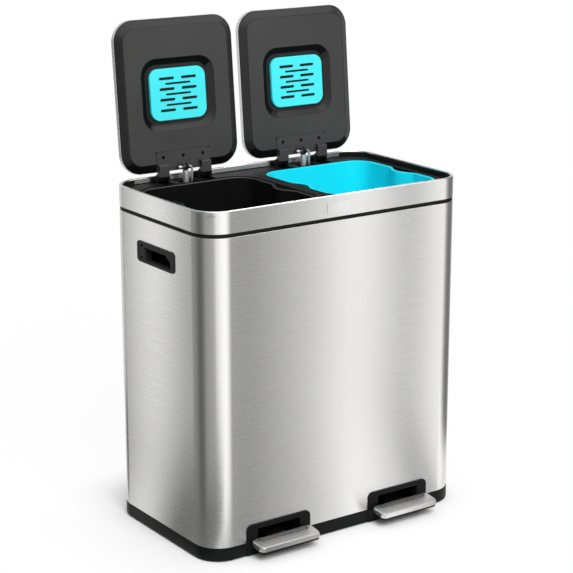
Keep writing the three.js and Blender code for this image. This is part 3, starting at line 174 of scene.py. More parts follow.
PIVOT = Vector(joints["pedal_pivot_right"]["pos_m"]) / MM
PEDAL_X = PIVOT.x
PEDAL_TILT = 7.5
PEDAL_WIDTH = 135
PEDAL_LENGTH = 39
PEDAL_REAR = -117.2             # the tread from its pivot
PEDAL_TOP = 17.4
PEDAL_HEIGHT = 12
LEVER_HALF = 22                 # half the lever's width, which the tread and its core leave room for
PEDAL_MID = PEDAL_REAR - PEDAL_LENGTH / 2
SURROUND_HALF = 72              # black frame round a pedal's slot
SURROUND_TOP = 62
SURROUND_RADIUS = 11
SLEEVE_INSET = 1.5              # its sleeve, which reaches into the body
SLEEVE_DEPTH = 15
SLOT_WIDTH = 97
SLOT_HEIGHT = 36
SLOT_Z = 34
PIVOT_BORE = 3.15
PIVOT_EARS = ((-26.75, -22.75), (22.75, 26.75))

FINE = 16                       # facets in a quarter turn of a large corner
SMALL = 6                       # and of a small one
RIGHTWARDS = Vector((1, 0, 0))

BODY = Matrix.Translation((0, MID_Y, 0))


def lid_place(side):
    turn = Matrix.Rotation(math.radians(-LID_OPEN), 4, "X")
    return Matrix.Translation((side * LID_X, HINGE.y, HINGE.z)) @ turn


def link_place(side):
    return Matrix.Translation((side * LID_X, LINK.y, LINK.z))


def pedal_place(side):
    tilt = Matrix.Rotation(math.radians(PEDAL_TILT), 4, "X")
    return Matrix.Translation((side * PEDAL_X, PIVOT.y, PIVOT.z)) @ tilt


def bucket_place(side):
    return BODY @ Matrix.Translation((side * BUCKET_X, BUCKET_Y, 0))


PLACES = {"bucket_body": bucket_place, "lid": lid_place, "rod": link_place, "damper": link_place,
          "damper_slide": link_place, "pedal": pedal_place}


# ---------------------------------------------------------------- outlines

def ring(width, depth, radius, x=0.0, y=0.0, z=0.0, steps=FINE):
    """Rounded rectangle in a level plane, counter-clockwise."""
    r = max(radius, 0.05)
    points = []
    for corner in range(4):
        cx = (1 if corner in (0, 3) else -1) * (width / 2 - r)
        cy = (1 if corner < 2 else -1) * (depth / 2 - r)
        for i in range(steps + 1):
            a = (corner + i / steps) * math.pi / 2
            points.append(Vector((x + cx + r * math.cos(a), y + cy + r * math.sin(a), z)))
    return points


def inset_ring(width, depth, radius, inset, **where):
    """A rounded rectangle drawn in by as much on every side."""
    return ring(width - 2 * inset, depth - 2 * inset, radius - inset, **where)


def body_ring(inset, z=0.0):
    return inset_ring(BODY_WIDTH, BODY_DEPTH, BODY_RADIUS, inset, z=z)


def rounded(corners, steps=4):
    """A closed outline of (a, b, radius) corners as points (a, b), its corners turned into arcs."""
    points = []
    for i, (a, b, radius) in enumerate(corners):
        here = Vector((a, b))
        if radius <= 0:
            points.append(here)
            continue
        into = (Vector(corners[i - 1][:2]) - here).normalized()
        away = (Vector(corners[(i + 1) % len(corners)][:2]) - here).normalized()
        half = into.angle(away) / 2
        reach = radius / math.tan(half)
        centre = here + (into + away).normalized() * (radius / math.sin(half))
        start = here + into * reach - centre
        sweep = (here + away * reach - centre).angle_signed(start)
        for k in range(steps + 1):
            turn = -sweep * k / steps
            points.append(centre + Vector((
                start.x * math.cos(-turn) - start.y * math.sin(-turn),
                start.x * math.sin(-turn) + start.y * math.cos(-turn),
            )))
    return points


def circle(radius, sides, x=0.0, y=0.0, z=0.0):
    return [Vector((x + radius * math.cos(a), y + radius * math.sin(a), z))
            for a in (2 * math.pi * i / sides for i in range(sides))]


# ---------------------------------------------------------------- meshes

def skin(name, rings, wraps=False):
    """A closed mesh between rings of as many points each, in metres."""
    bm = bmesh.new()
    rows = [[bm.verts.new(p * MM) for p in points] for points in rings]
    pairs = zip(rows, rows[1:] + rows[:1]) if wraps else zip(rows, rows[1:])
    for low, high in pairs:
        for i in range(len(low)):
            j = (i + 1) % len(low)
            bm.faces.new((low[i], low[j], high[j], high[i]))
    if not wraps:
        bm.faces.new(list(reversed(rows[0])))
        bm.faces.new(rows[-1])
    bmesh.ops.recalc_face_normals(bm, faces=bm.faces)
    mesh = bpy.data.meshes.new(name)
    bm.to_mesh(mesh)
    bm.free()
    made = bpy.data.objects.new(name, mesh)
    bpy.context.scene.collection.objects.link(made)
    return made


def border(name, section):
    """A closed section of (inset, height) carried round the body."""
    return skin(name, [body_ring(inset, z) for inset, z in section], wraps=True)


def slab(name, points, low, high):
    return skin(name, [[Vector((p.x, p.y, z)) for p in points] for z in (low, high)])


def block(x0, x1, y0, y1, z0, z1):
    corners = [Vector((x0, y0, 0)), Vector((x1, y0, 0)), Vector((x1, y1, 0)), Vector((x0, y1, 0))]
    return slab("block", corners, z0, z1)


def along_x(name, points, x0, x1):
    """An outline of (y, z) carried along X."""
    return skin(name, [[Vector((x, p[0], p[1])) for p in points] for x in (x0, x1)])


def along_y(name, points, y0, y1):
    """An outline of (x, z) carried along Y."""
    return skin(name, [[Vector((p[0], y, p[1])) for p in points] for y in (y0, y1)])


def bar(radius, x0, x1, y, z, sides=32):
    """A round bar along X."""
    return along_x("bar", circle(radius, sides, y, z), x0, x1)


def post(radius, x, y, z0, z1, sides=32):
    """A round post along Z."""
    return skin("post", [circle(radius, sides, x, y, z) for z in (z0, z1)])


def turned(name, profile, sides=40):
    """A profile of (radius, height) turned about the vertical through the origin."""
    return skin(name, [circle(radius, sides, z=z) for radius, z in profile])


def domed(outline, steps, inset, top, radius, low):
    """A shape with a flat top and a rounded upper edge, from an outline that takes an inset and a height."""
    turns = [math.pi / 2 * i / steps for i in range(steps + 1)]
    return skin("domed", [outline(inset, low)] + [
        outline(inset + radius * (1 - math.cos(a)), top - radius * (1 - math.sin(a))) for a in turns])


def settled(obj):
    """The object with its modifiers worked into its mesh."""
    graph = bpy.context.evaluated_depsgraph_get()
    mesh = bpy.data.meshes.new_from_object(obj.evaluated_get(graph))
    obj.modifiers.clear()
    old, obj.data = obj.data, mesh
    bpy.data.meshes.remove(old)
    return obj


def combine(obj, tools, operation):
    for tool in tools:
        modifier = obj.modifiers.new(operation.lower(), "BOOLEAN")
        modifier.operation = operation
        modifier.solver = "EXACT"
        modifier.object = tool
    settled(obj)
    for tool in tools:
        mesh = tool.data
        bpy.data.objects.remove(tool)
        bpy.data.meshes.remove(mesh)
    return obj


def join(obj, *tools):
    return combine(obj, tools, "UNION")


def cut(obj, *tools):
    return combine(obj, tools, "DIFFERENCE")


def shade(obj, angle=38):
    """Smooth shading that keeps flat faces flat."""
    obj.data.shade_smooth()
    obj.data.set_sharp_from_angle(angle=math.radians(angle))
    even = obj.modifiers.new("even", "WEIGHTED_NORMAL")
    even.keep_sharp = True
    return settled(obj)


def soften(obj, width, segments=2, angle=34):
    """Small rounded edges wherever faces meet at more than an angle."""
    bevel = obj.modifiers.new("soften", "BEVEL")
    bevel.width = width * MM
    bevel.segments = segments
    bevel.limit_method = "ANGLE"
    bevel.angle_limit = math.radians(angle)
    bevel.miter_outer = "MITER_ARC"
    return shade(settled(obj))


def seat(obj, where):
    """Puts a shape made in a piece's own frame into the row frame."""
    metres = where.copy()
    metres.translation = where.translation * MM
    obj.data.transform(metres)
    return obj


def dress(obj, name, body, finish, *nodes):
    """Names a finished shape, gives it its material and lets it ride in place of CAD nodes."""
    obj.name = name
    obj.data.name = name
    obj.data.materials.clear()
    obj.data.materials.append(finish["material"])
    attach(obj, body)
    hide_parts(*nodes)
    return obj


def on_body(obj, name, finish, *nodes):
    """Dresses a shape made in the body's frame."""
    return dress(seat(obj, BODY), name, "bin_body", finish, *nodes)


def on_side(obj, side, body, name, finish, node):
    """Dresses a shape made in the frame of a moving body that each side has."""
    hand = HANDS[side]
    seat(obj, PLACES[body](side))
    return dress(obj, f"{name}_{hand}", f"{body}_{hand}", finish, f"{node}_{hand}")


def paint_faces(obj, tones, *finishes):
    """More finishes on one piece: each face's tone counts them, from nought for the piece's own."""
    for finish in finishes:
        obj.data.materials.append(finish["material"])
    obj.data.polygons.foreach_set("material_index", [int(tone) for tone in tones])


# ---------------------------------------------------------------- repeats by geometry nodes

def add_node(tree, kind, inputs=None, **settings):
    """A new node in a tree. Its inputs are given as values or as the sockets that feed them."""
    node = tree.nodes.new(kind)
    for label, value in settings.items():
        setattr(node, label, value)
    for label, value in (inputs or {}).items():
        if isinstance(value, bpy.types.NodeSocket):
            tree.links.new(value, node.inputs[label])
        else:
            node.inputs[label].default_value = value
    return node


def repeat_tree():
    """Copies of the incoming shape on a level grid, as real geometry with one material."""
    tree = bpy.data.node_groups.new("repeat_on_grid", "GeometryNodeTree")
    for label, kind in (("Shape", "Geometry"), ("Columns", "Int"), ("Rows", "Int"), ("Width", "Float"),
                        ("Depth", "Float"), ("Finish", "Material")):
        tree.interface.new_socket(label, in_out="INPUT", socket_type=f"NodeSocket{kind}")
    tree.interface.new_socket("Copies", in_out="OUTPUT", socket_type="NodeSocketGeometry")
    given = add_node(tree, "NodeGroupInput").outputs
    grid = add_node(tree, "GeometryNodeMeshGrid", {
        "Size X": given["Width"], "Size Y": given["Depth"],
        "Vertices X": given["Columns"], "Vertices Y": given["Rows"]})
    copies = add_node(tree, "GeometryNodeInstanceOnPoints", {
        "Points": grid.outputs["Mesh"], "Instance": given["Shape"]})
    real = add_node(tree, "GeometryNodeRealizeInstances", {"Geometry": copies.outputs["Instances"]})
    painted = add_node(tree, "GeometryNodeSetMaterial", {
        "Geometry": real.outputs["Geometry"], "Material": given["Finish"]})
    add_node(tree, "NodeGroupOutput", {"Copies": painted.outputs["Geometry"]})
    return tree


REPEAT = repeat_tree()


def repeated(obj, columns, rows, width, depth, finish):
    """A shape made round its own origin, repeated on a grid of that width and depth."""
    modifier = obj.modifiers.new("repeat", "NODES")
    modifier.node_group = REPEAT
    values = {"Columns": columns, "Rows": rows, "Width": width * MM, "Depth": depth * MM,
              "Finish": finish["material"]}
    for item in REPEAT.interface.items_tree:
        if item.name in values:
            modifier[item.identifier] = values[item.name]
    return settled(obj)


# ---------------------------------------------------------------- materials

class Shader:
    """A Principled material with the few node patterns that the bin's finishes share."""

    def __init__(self, name, color, roughness, metallic=0.0, **constants):
        self.material = bpy.data.materials.new(name)
        self.material.use_nodes = True
        self.tree = self.material.node_tree
        self.surface = self.tree.nodes["Principled BSDF"]
        constants = {"Base Color": (*color, 1), "Roughness": roughness, "Metallic": metallic, **constants}
        for label, value in constants.items():
            self.surface.inputs[label.replace("_", " ")].default_value = value
        self.coordinates = self.node("ShaderNodeTexCoord").outputs["Object"]

    def node(self, kind, inputs=None, **settings):
        return add_node(self.tree, kind, inputs, **settings)

    def drive(self, label, value):
        self.tree.links.new(value, self.surface.inputs[label])

    def noise(self, stretch, detail=3.0, roughness=0.55):
        """Noise with so many waves a metre along each axis."""
        mapping = self.node("ShaderNodeMapping", {"Vector": self.coordinates, "Scale": stretch})
        return self.node("ShaderNodeTexNoise", {"Vector": mapping.outputs["Vector"], "Scale": 1,
                                                "Detail": detail, "Roughness": roughness}).outputs["Fac"]

    def spread(self, value, low, high):
        """A noise value stretched over a range."""
        return self.node("ShaderNodeMapRange", {"Value": value, "From Min": 0.3, "From Max": 0.7,
                                                "To Min": low, "To Max": high}).outputs["Result"]

    def average(self, first, second, share):
        return self.node("ShaderNodeMix", {"Factor": share, "A": first, "B": second}).outputs["Result"]

    def tint(self, value, dark, pale):
        mix = self.node("ShaderNodeMix", {"Factor": value, "A": (*dark, 1), "B": (*pale, 1)},
                        data_type="RGBA")
        self.drive("Base Color", mix.outputs["Result"])

    def rough(self, value, low, high):
        self.drive("Roughness", self.spread(value, low, high))

    def bump(self, value, strength, depth):
        """Relief of a depth in millimetres."""
        relief = self.node("ShaderNodeBump", {
            "Height": value, "Strength": strength, "Distance": depth * MM})
        self.drive("Normal", relief.outputs["Normal"])


def brushed_steel(name, grain, axis, turn, dark, pale):
    """Satin stainless steel, brushed along the axes in which the grain has few waves."""
    shader = Shader(name, pale, 0.28, 1.0, Anisotropic=0.85, Anisotropic_Rotation=turn)
    fine = shader.noise(grain, 3.0, 0.6)
    coarse = shader.noise([wave / 4 for wave in grain], 2.0, 0.6)
    lines = shader.average(fine, coarse, 0.45)
    shader.tint(shader.spread(lines, 0.0, 1.0), dark, pale)
    shader.rough(lines, 0.25, 0.31)
    shader.bump(lines, 0.02, 0.02)
    tangent = shader.node("ShaderNodeTangent", direction_type="RADIAL", axis=axis)
    shader.drive("Tangent", tangent.outputs["Tangent"])
    return {"material": shader.material, "slot": "stainless_steel"}


def bright_steel(name, color, low, high):
    """Plated wire and tube, faintly drawn along its length."""
    shader = Shader(name, color, low, 1.0)
    drawn = shader.noise((900, 900, 14), 2.0)
    shader.rough(drawn, low, high)
    shader.bump(drawn, 0.08, 0.03)
    return {"material": shader.material, "slot": "bright_steel"}


def moulded(name, slot, dark, pale, low, high, texture=1600, relief=0.03, shine=0.1):
    """Moulded plastic with a fine eroded texture and slow changes of tone and gloss."""
    shader = Shader(name, pale, low, Specular_IOR_Level=shine)
    cloud = shader.noise((9, 9, 9), 2.0)
    skin_grain = shader.noise((texture, texture, texture), 2.0)
    shader.tint(shader.spread(cloud, 0.0, 1.0), dark, pale)
    shader.rough(shader.average(cloud, skin_grain, 0.4), low, high)
    shader.bump(skin_grain, 0.25, relief)
    return {"material": shader.material, "slot": slot}


def felt():
    shader = Shader("carbon_felt", (0.012, 0.012, 0.013), 0.95)
    fibre = shader.noise((1400, 300, 900), 4.0, 0.8)
    shader.tint(shader.spread(fibre, 0.0, 1.0), (0.004, 0.004, 0.004), (0.03, 0.03, 0.032))
    shader.bump(fibre, 0.9, 0.6)
    return {"material": shader.material, "slot": "carbon_felt"}


wall_steel = brushed_steel("brushed_wall", (60, 60, 1500), "Z", 0.25,
                           (0.77, 0.765, 0.755), (0.8, 0.795, 0.785))
tread_steel = brushed_steel("brushed_tread", (22, 1400, 1400), "X", 0.0,
                            (0.7, 0.695, 0.69), (0.73, 0.725, 0.715))
plate_steel = brushed_steel("brushed_plate", (30, 30, 1500), "Z", 0.25,
                            (0.78, 0.78, 0.77), (0.85, 0.85, 0.84))
wire_steel = bright_steel("plated_wire", (0.88, 0.88, 0.87), 0.3, 0.42)
tube_steel = bright_steel("damper_tube_steel", (0.92, 0.92, 0.91), 0.42, 0.55)
# darkened far below plated steel: painted shade for the pedal levers in their slots, which the damper anchors
# share
strap_painted_shade = bright_steel("strap_steel_painted_shade", (0.12, 0.12, 0.118), 0.4, 0.52)
# blackened screws; the treads' pressed grooves also wear it, there as painted shade
blackened_steel_and_groove_shade = {**bright_steel("blackened_screw", (0.012, 0.012, 0.013), 0.4, 0.55), "slot": "dark_steel"}
black_moulding = moulded("black_moulding", "black_moulding", (0.006, 0.0065, 0.007), (0.01, 0.0105, 0.011),
                         0.36, 0.5)
handle_black = moulded("handle_black", "black_moulding", (0.027, 0.027, 0.0275), (0.036, 0.036, 0.0365),
                       0.4, 0.55)
bucket_black = moulded("bucket_black", "bucket_black", (0.004, 0.004, 0.0045), (0.007, 0.007, 0.0075),
                       0.34, 0.46)
# about ten times paler than bucket_black: a painted highlight along the rim's inner edge
bucket_lip_painted_highlight = moulded("bucket_lip_painted_highlight", "bucket_black", (0.05,) * 3, (0.06,) * 3, 0.3, 0.4, shine=0.5)
bucket_cyan = moulded("bucket_cyan", "bucket_cyan", (0.008, 0.8, 0.97), (0.01, 0.86, 1.0), 0.4, 0.52)
filter_cyan = moulded("filter_cyan", "filter_cyan", (0.075, 0.9, 0.98), (0.085, 0.95, 1.0), 0.34, 0.46)
lid_moulding = moulded("lid_moulding", "lid_moulding", (0.04, 0.04, 0.039), (0.05, 0.05, 0.049), 0.4, 0.52,
                       shine=0.35)
lid_border = moulded("lid_border", "lid_moulding", (0.007,) * 3, (0.011,) * 3, 0.3, 0.4, 2400, 0.01, 0.35)
# near-black and barely shiny: painted shade for the lid's slopes that face away from the light
lid_painted_shade = moulded("lid_painted_shade", "lid_moulding", (0.004,) * 3, (0.006,) * 3, 0.5, 0.6, 2400, 0.01, 0.05)
bracket_black = moulded("bracket_black", "lid_moulding", (0.016,) * 3, (0.022,) * 3, 0.28, 0.38, shine=0.8)
rubber = moulded("rubber", "rubber", (0.008,) * 3, (0.014,) * 3, 0.7, 0.85, 900, 0.08)
carbon = felt()


# ---------------------------------------------------------------- body

def handle_hole(side, grow):
    lap = HANDLE_LAP - grow
    outline = inset_ring(HANDLE_LENGTH, HANDLE_HEIGHT, HANDLE_RADIUS, lap, x=-side * HANDLE_Y, y=HANDLE_Z,
                         steps=SMALL)
    return along_x("hole", outline, side * SIDE_X - 6, side * SIDE_X + 6)


def pedal_frame_outline(x, shrink, bottom):
    half, top, radius = SURROUND_HALF - shrink, SURROUND_TOP - shrink, SURROUND_RADIUS - shrink
    return rounded([(x - half, bottom, 0), (x + half, bottom, 0), (x + half, top, radius),
                    (x - half, top, radius)], SMALL)


def body_shell():
    under = GAP_LOW - SHEET
    shell = border("shell", rounded([
        (0, BASE_TOP, 0), (0, GAP_LOW, 1.3), (SHELL_LIP, GAP_LOW, 0.2), (SHELL_LIP, under, 0.2),
        (SHEET, under, 0.4), (SHEET, BASE_TOP, 0)], 3))
    notches = [along_y("notch", pedal_frame_outline(side * PEDAL_X, 1.2, BASE_TOP - 10),
                       FRONT_Y - 5, FRONT_Y + 5) for side in SIDES]
    cut(shell, handle_hole(-1, FIT), handle_hole(1, FIT), *notches)
    on_body(shade(shell), "steel_shell", wall_steel, "body_shell")


def rim_band():
    roll = 3.1
    top = RIM_TOP - roll
    turns = [math.pi * i / 15 for i in range(15)]
    outer = [(roll - roll * math.cos(a), top + roll * math.sin(a)) for a in turns]
    bend = roll - SHEET
    inner = [(roll - bend * math.cos(a), top + bend * math.sin(a)) for a in reversed(turns)]
    section = [(0.5, GAP_TOP), (0, GAP_TOP + 0.5), *outer, *inner, (SHEET, GAP_TOP + 0.2),
               (SHEET - 0.1, GAP_TOP)]
    band = border("band", section)
    half, back, low = SIDE_X - BODY_RADIUS, REAR_Y - COLLAR, LEDGE_Z + 1.5
    strip = along_x("strip", [
        (back + 1, top + 0.3), (back - 0.7, top + 0.3), (back - 0.7, low), (back - 0.2, low),
        (back - 0.2, top - 0.3), (back + 1, top - 0.3)], -half, half)
    on_body(shade(join(band, strip)), "steel_rim", wall_steel, "rim_band")


def flange_outline(side, grow):
    return inset_ring(FLANGE_WIDTH, FLANGE_DEPTH, BUCKET_RADIUS, -grow, x=side * BUCKET_X, y=BUCKET_Y)


def hinge_pocket(x, pin_reach):
    """What the frame gains and loses round a hook: a cup, two ears and their bosses, then room and a bore."""
    front = HINGE_Y - HOOK_FRONT - HOOK_TOE - RUN
    rear = HINGE_Y + BARREL + 2
    bottom = HINGE_Z - HOOK_REACH - RUN
    half = HOOK_WIDTH / 2 + RUN
    wall, ear = 4, 5.6
    added = [block(x - half - wall, x + half + wall, front + 0.4, rear + 2, bottom - 2, LEDGE_Z - 0.5)]
    outline = rounded([
        (HINGE_Y - ear, LEDGE_Z - 1, 0), (HINGE_Y + ear, LEDGE_Z - 1, 0),
        (HINGE_Y + ear, HINGE_Z + ear, ear - 0.1), (HINGE_Y - ear, HINGE_Z + ear, ear - 0.1)], 8)
    for x0, x1 in ((x - half - wall, x - half), (x + half, x + half + wall)):
        added.append(along_x("ear", outline, x0, x1))
    added.append(bar(4.2, x - pin_reach - 1.2, x + pin_reach + 1.2, HINGE_Y, HINGE_Z))
    removed = [block(x - half, x + half, front, rear, bottom, LEDGE_Z + 30),
               bar(PIN_BORE, x - pin_reach - 0.2, x + pin_reach + 0.2, HINGE_Y, HINGE_Z, 24)]
    return added, removed


def top_frame():
    tuck, wall = SHELL_LIP + FIT, 2.5
    band = SHEET + FIT
    collar_top = RIM_TOP - 3.9
    apron_bottom = LEDGE_Z - 26
    skirt_bottom = SHELL_TOP - 34
    above = LEDGE_Z + 10
    body = border("frame", [
        (band + 3.9, collar_top), (band, collar_top - 3), (band, GAP_TOP - FIT), (1, GAP_TOP - FIT),
        (1, GAP_LOW + FIT), (tuck, GAP_LOW + FIT), (tuck, skirt_bottom), (tuck + wall, skirt_bottom),
        (tuck + wall, LEDGE_Z), (COLLAR + 0.4, LEDGE_Z), (COLLAR, collar_top - 0.6),
        (COLLAR - 0.6, collar_top),
    ])
    ledge = slab("ledge", body_ring(band + wall), LEDGE_Z - 3, LEDGE_Z)
    aprons = [slab("apron", flange_outline(side, RUN + 2), apron_bottom, LEDGE_Z - 0.01) for side in SIDES]
    body = join(body, ledge, *aprons)
    pin_low, pin_high = place("hinge_pin_right_a")
    pin_reach = (pin_high.x - pin_low.x) / 2
    seat_rear = BUCKET_Y + FLANGE_DEPTH / 2 + RUN
    added, removed = [], []
    for side in SIDES:
        centre = side * LID_X
        removed.append(slab("seat", flange_outline(side, RUN), BUCKET_RIM - 2 - FIT, above))
        removed.append(slab("mouth", flange_outline(side, -4), apron_bottom - 10, above))
        for hook in (-1, 1):
            gained, lost = hinge_pocket(centre + hook * HOOK_X, pin_reach)
            added += gained
            removed += lost
        removed.append(block(centre + WIRE_LEFT - 6, centre + WIRE_X + WIRE + 3, seat_rear + 0.6,
                             LINK.y - MID_Y + 8, apron_bottom - 10, above))
    body = cut(join(body, *added), *removed)
    on_body(soften(body, 0.5), "inner_frame", black_moulding, "top_frame")


def base_tray():
    proud, inside, wall = 0.8, SHEET + FIT, 2
    top, reach = BASE_TOP - FIT, base_high.z
    tray = border("tray", rounded([
        (-proud, FOOT_HEIGHT, 2.2), (-proud, top, 1.0), (inside, top, 0), (inside, reach, 0.3),
        (inside + wall, reach, 0.3), (inside + wall, FOOT_HEIGHT, 0)], 4))
    bottom = slab("floor", body_ring(2), FOOT_HEIGHT, FOOT_HEIGHT + 3)
    pivot_y, ear_radius = PIVOT.y - MID_Y, 12
    front, back = pivot_y - ear_radius, pivot_y + ear_radius
    ear_top = PIVOT.z + ear_radius
    ear = rounded([(front, FOOT_HEIGHT + 2, 0), (back, FOOT_HEIGHT + 2, 0),
                   (back, ear_top, ear_radius - 0.1), (front, ear_top, ear_radius - 0.1)], 8)
    sleeve = SURROUND_HALF - SLEEVE_INSET + FIT
    ears, removed = [], []
    for side in SIDES:
        x = side * PEDAL_X
        ears += [along_x("ear", ear, x + x0, x + x1) for x0, x1 in PIVOT_EARS]
        removed.append(bar(PIVOT_BORE, x - 40, x + 40, pivot_y, PIVOT.z, 24))
        removed.append(block(x - sleeve, x + sleeve, FRONT_Y - 5, FRONT_Y + SLEEVE_DEPTH + FIT,
                             FOOT_HEIGHT - 1, reach + 5))
        removed += [post(FOOT_RADIUS + FIT, side * FOOT_X, y, FOOT_HEIGHT - 1, FOOT_HEIGHT + FOOT_SEAT)
                    for y in (-FOOT_Y, FOOT_Y)]
    on_body(shade(cut(join(tray, bottom, *ears), *removed), 30), "base", black_moulding, "base_tray")


def feet():
    foot = turned("foot", [
        (FOOT_RADIUS - 1.4, 0), (FOOT_RADIUS - 0.4, 0.5), (FOOT_RADIUS, 1.2), (FOOT_RADIUS, 3)], 48)
    four = repeated(shade(foot), 2, 2, 2 * FOOT_X, 2 * FOOT_Y, rubber)
    nodes = [f"foot_{end}_{hand}" for end in ("front", "rear") for hand in HANDS.values()]
    on_body(four, "rubber_feet", rubber, *nodes)


def front_plate():
    low, high = place("front_plate")
    plate = along_y("plate", rounded([(low.x, low.z, 2), (high.x, low.z, 2), (high.x, high.z, 2),
                                      (low.x, high.z, 2)], SMALL), low.y, high.y)
    dress(soften(plate, 0.35, 3), "blank_plate", "bin_body", plate_steel, "front_plate")


def pedal_frame(side):
    x = side * PEDAL_X
    bottom = FOOT_HEIGHT + 0.4
    face, back = FRONT_Y - 2.3, FRONT_Y + SLEEVE_DEPTH
    wall = 2.2
    plate = along_y("plate", pedal_frame_outline(x, 0, bottom), face, FRONT_Y - 0.8 - FIT)
    sleeve = along_y("sleeve", pedal_frame_outline(x, SLEEVE_INSET, bottom), face + 1, back)
    hollow = along_y("hollow", pedal_frame_outline(x, SLEEVE_INSET + wall, bottom + wall),
                     FRONT_Y + wall, back + 5)
    slot_wall = along_y("wall", inset_ring(SLOT_WIDTH, SLOT_HEIGHT, 3, -wall, x=x, y=SLOT_Z, steps=SMALL),
                        face + 1.2, back)
    slot = along_y("slot", ring(SLOT_WIDTH, SLOT_HEIGHT, 3, x, SLOT_Z, steps=SMALL), face - 5, back + 5)
    made = cut(join(plate, cut(sleeve, hollow), slot_wall), slot)
    hand = HANDS[side]
    on_body(soften(made, 0.7, 3), f"pedal_surround_{hand}", black_moulding, f"pedal_frame_{hand}")


def handle(side):
    """The left handle; the right one is the same moulding turned half a turn."""
    face, wall, depth = -SIDE_X - 1.8, -SIDE_X, 14

    def outline(shrink):
        return inset_ring(HANDLE_LENGTH, HANDLE_HEIGHT, HANDLE_RADIUS, shrink, x=HANDLE_Y, y=HANDLE_Z,
                          steps=SMALL + 2)

    plate = along_x("plate", outline(0), face, wall - FIT / 2)
    sleeve = along_x("sleeve", outline(HANDLE_LAP), wall - 1, wall + depth)
    front, rear = HANDLE_Y - HANDLE_LENGTH / 2, HANDLE_Y + HANDLE_LENGTH / 2
    y0, y1 = front + 13, rear - 27
    z0, z1 = HANDLE_Z - HANDLE_HEIGHT / 2 + 4.5, HANDLE_Z + HANDLE_HEIGHT / 2 - 10
    hole = along_x("hole", rounded([
        (y0, z0, 2), (y1, z0, 4), (y1, z1, 1.5), (y0 + 17, z1, 3), (y0 + 8, z1 - 6, 3), (y0, z1 - 9, 2)], 5),
        face - 5, wall + depth + 5)
    pad_y = (y1 + rear) / 2
    pad = along_x("pad", ring(19, 30, 3, pad_y, HANDLE_Z, steps=SMALL), face - 1, face + 0.9)
    clips = [block(face - 1, face + 6, pad_y - 6, pad_y + 3, z - 2.4, z + 2.4)
             for z in (HANDLE_Z - 11, HANDLE_Z + 11)]
    hollow = along_x("hollow", ring(15, 26, 2, pad_y, HANDLE_Z, steps=SMALL), wall + 3.5, wall + depth + 5)
    made = soften(cut(join(plate, sleeve), hole, pad, *clips, hollow), 0.6, 3)
    if side > 0:
        made.data.transform(Matrix.Rotation(math.pi, 4, "Z"))
    hand = HANDS[side]
    on_body(made, f"hand_hole_{hand}", handle_black, f"handle_{hand}")


def lid_buffers(side):
    hand = HANDS[side]
    low, high = place(f"lid_buffer_{hand}_a")
    second, _ = place(f"lid_buffer_{hand}_b")
    top = high.z - low.z
    buffer = turned("buffer", [(2.6, 0), (2.6, top - 1.3), (2.2, top - 0.5), (1.3, top)], 32)
    made = repeated(shade(buffer), 2, 1, abs(second.x - low.x), 0, rubber)
    where = Matrix.Translation((side * LID_X, (low.y + high.y) / 2, low.z))
    dress(seat(made, where), f"lid_buffers_{hand}", "bin_body", rubber,
          f"lid_buffer_{hand}_a", f"lid_buffer_{hand}_b")


# ---------------------------------------------------------------- buckets

def bucket_ring(inset, grip, z, steps=10, waves=18):
    """Bucket outline at one height; its side walls draw in at the finger grips."""
    points = inset_ring(FLANGE_WIDTH, FLANGE_DEPTH, BUCKET_RADIUS, inset, z=z, steps=steps)
    half = FLANGE_WIDTH / 2 - inset
    past_left = 2 * (steps + 1)

    def dent(sign):
        made = []
        for i in range(waves + 1):
            t = sign * (2 * i / waves - 1)
            bump = max(math.cos(t * math.pi / 2), 0) ** 1.4
            made.append(Vector((sign * (half - grip * bump), GRIP_Y + t * GRIP_HALF, z)))
        return made

    return points[:past_left] + dent(-1) + points[past_left:] + dent(1)


def bucket(side, finish):
    height = BUCKET_RIM - BUCKET_FLOOR
    under = BUCKET_RIM - 2
    flange, wall, taper, bend = 5, 2, 11, 6

    def grip(z):
        t = min(max((BUCKET_RIM - z - 25) / 65, 0), 1)
        return GRIP_DEPTH * (1 - t) ** 2 * (1 + 2 * t)

    def level(z, thickness):
        return bucket_ring(flange + thickness + taper * (BUCKET_RIM - z) / height, grip(z), z)

    def corner(z0, thickness, steps=5):
        turns = [math.pi / 2 * i / steps for i in range(steps)]
        inset = flange + thickness + taper
        return [bucket_ring(inset + bend * (1 - math.sin(a)), 0, z0 + bend * (1 - math.cos(a)))
                for a in turns]

    heights = [BUCKET_RIM - below for below in (90, 80, 70, 60, 50, 40, 32, 25)]
    outside = corner(BUCKET_FLOOR, 0) + [level(z, 0) for z in [BUCKET_FLOOR + bend, *heights, under]]
    mouth = flange + wall
    lip = [bucket_ring(inset, GRIP_DEPTH, z) for inset, z in (
        (0.2, under), (0, under + 0.3), (0, BUCKET_RIM - 0.6), (0.6, BUCKET_RIM), (mouth - 1.4, BUCKET_RIM),
        (mouth - 0.5, BUCKET_RIM - 0.3), (mouth, BUCKET_RIM - 1.3))]
    inside = [level(z, wall) for z in [*reversed(heights), BUCKET_FLOOR + 2.5 + bend]]
    inside += reversed(corner(BUCKET_FLOOR + 2.5, wall))
    made = shade(skin("bucket", outside + lip + inside), 50)
    # the rim's inner rounded edge gets the paler, glossier finish: a painted highlight line
    lip_highlight_faces = [BUCKET_RIM - face.center.z / MM < 1.3 and 0.1 < face.normal.z < 0.97
              and face.normal.xy.dot(face.center.xy) < 0 for face in made.data.polygons]
    on_side(made, side, "bucket_body", "bucket_shell", finish, "bucket")
    if finish is bucket_black:
        paint_faces(made, lip_highlight_faces, bucket_lip_painted_highlight)


# ---------------------------------------------------------------- lids

def lid_ring(inset, z):
    return inset_ring(LID_WIDTH, LID_LENGTH, LID_RADIUS, inset, y=LID_MID_Y, z=z)


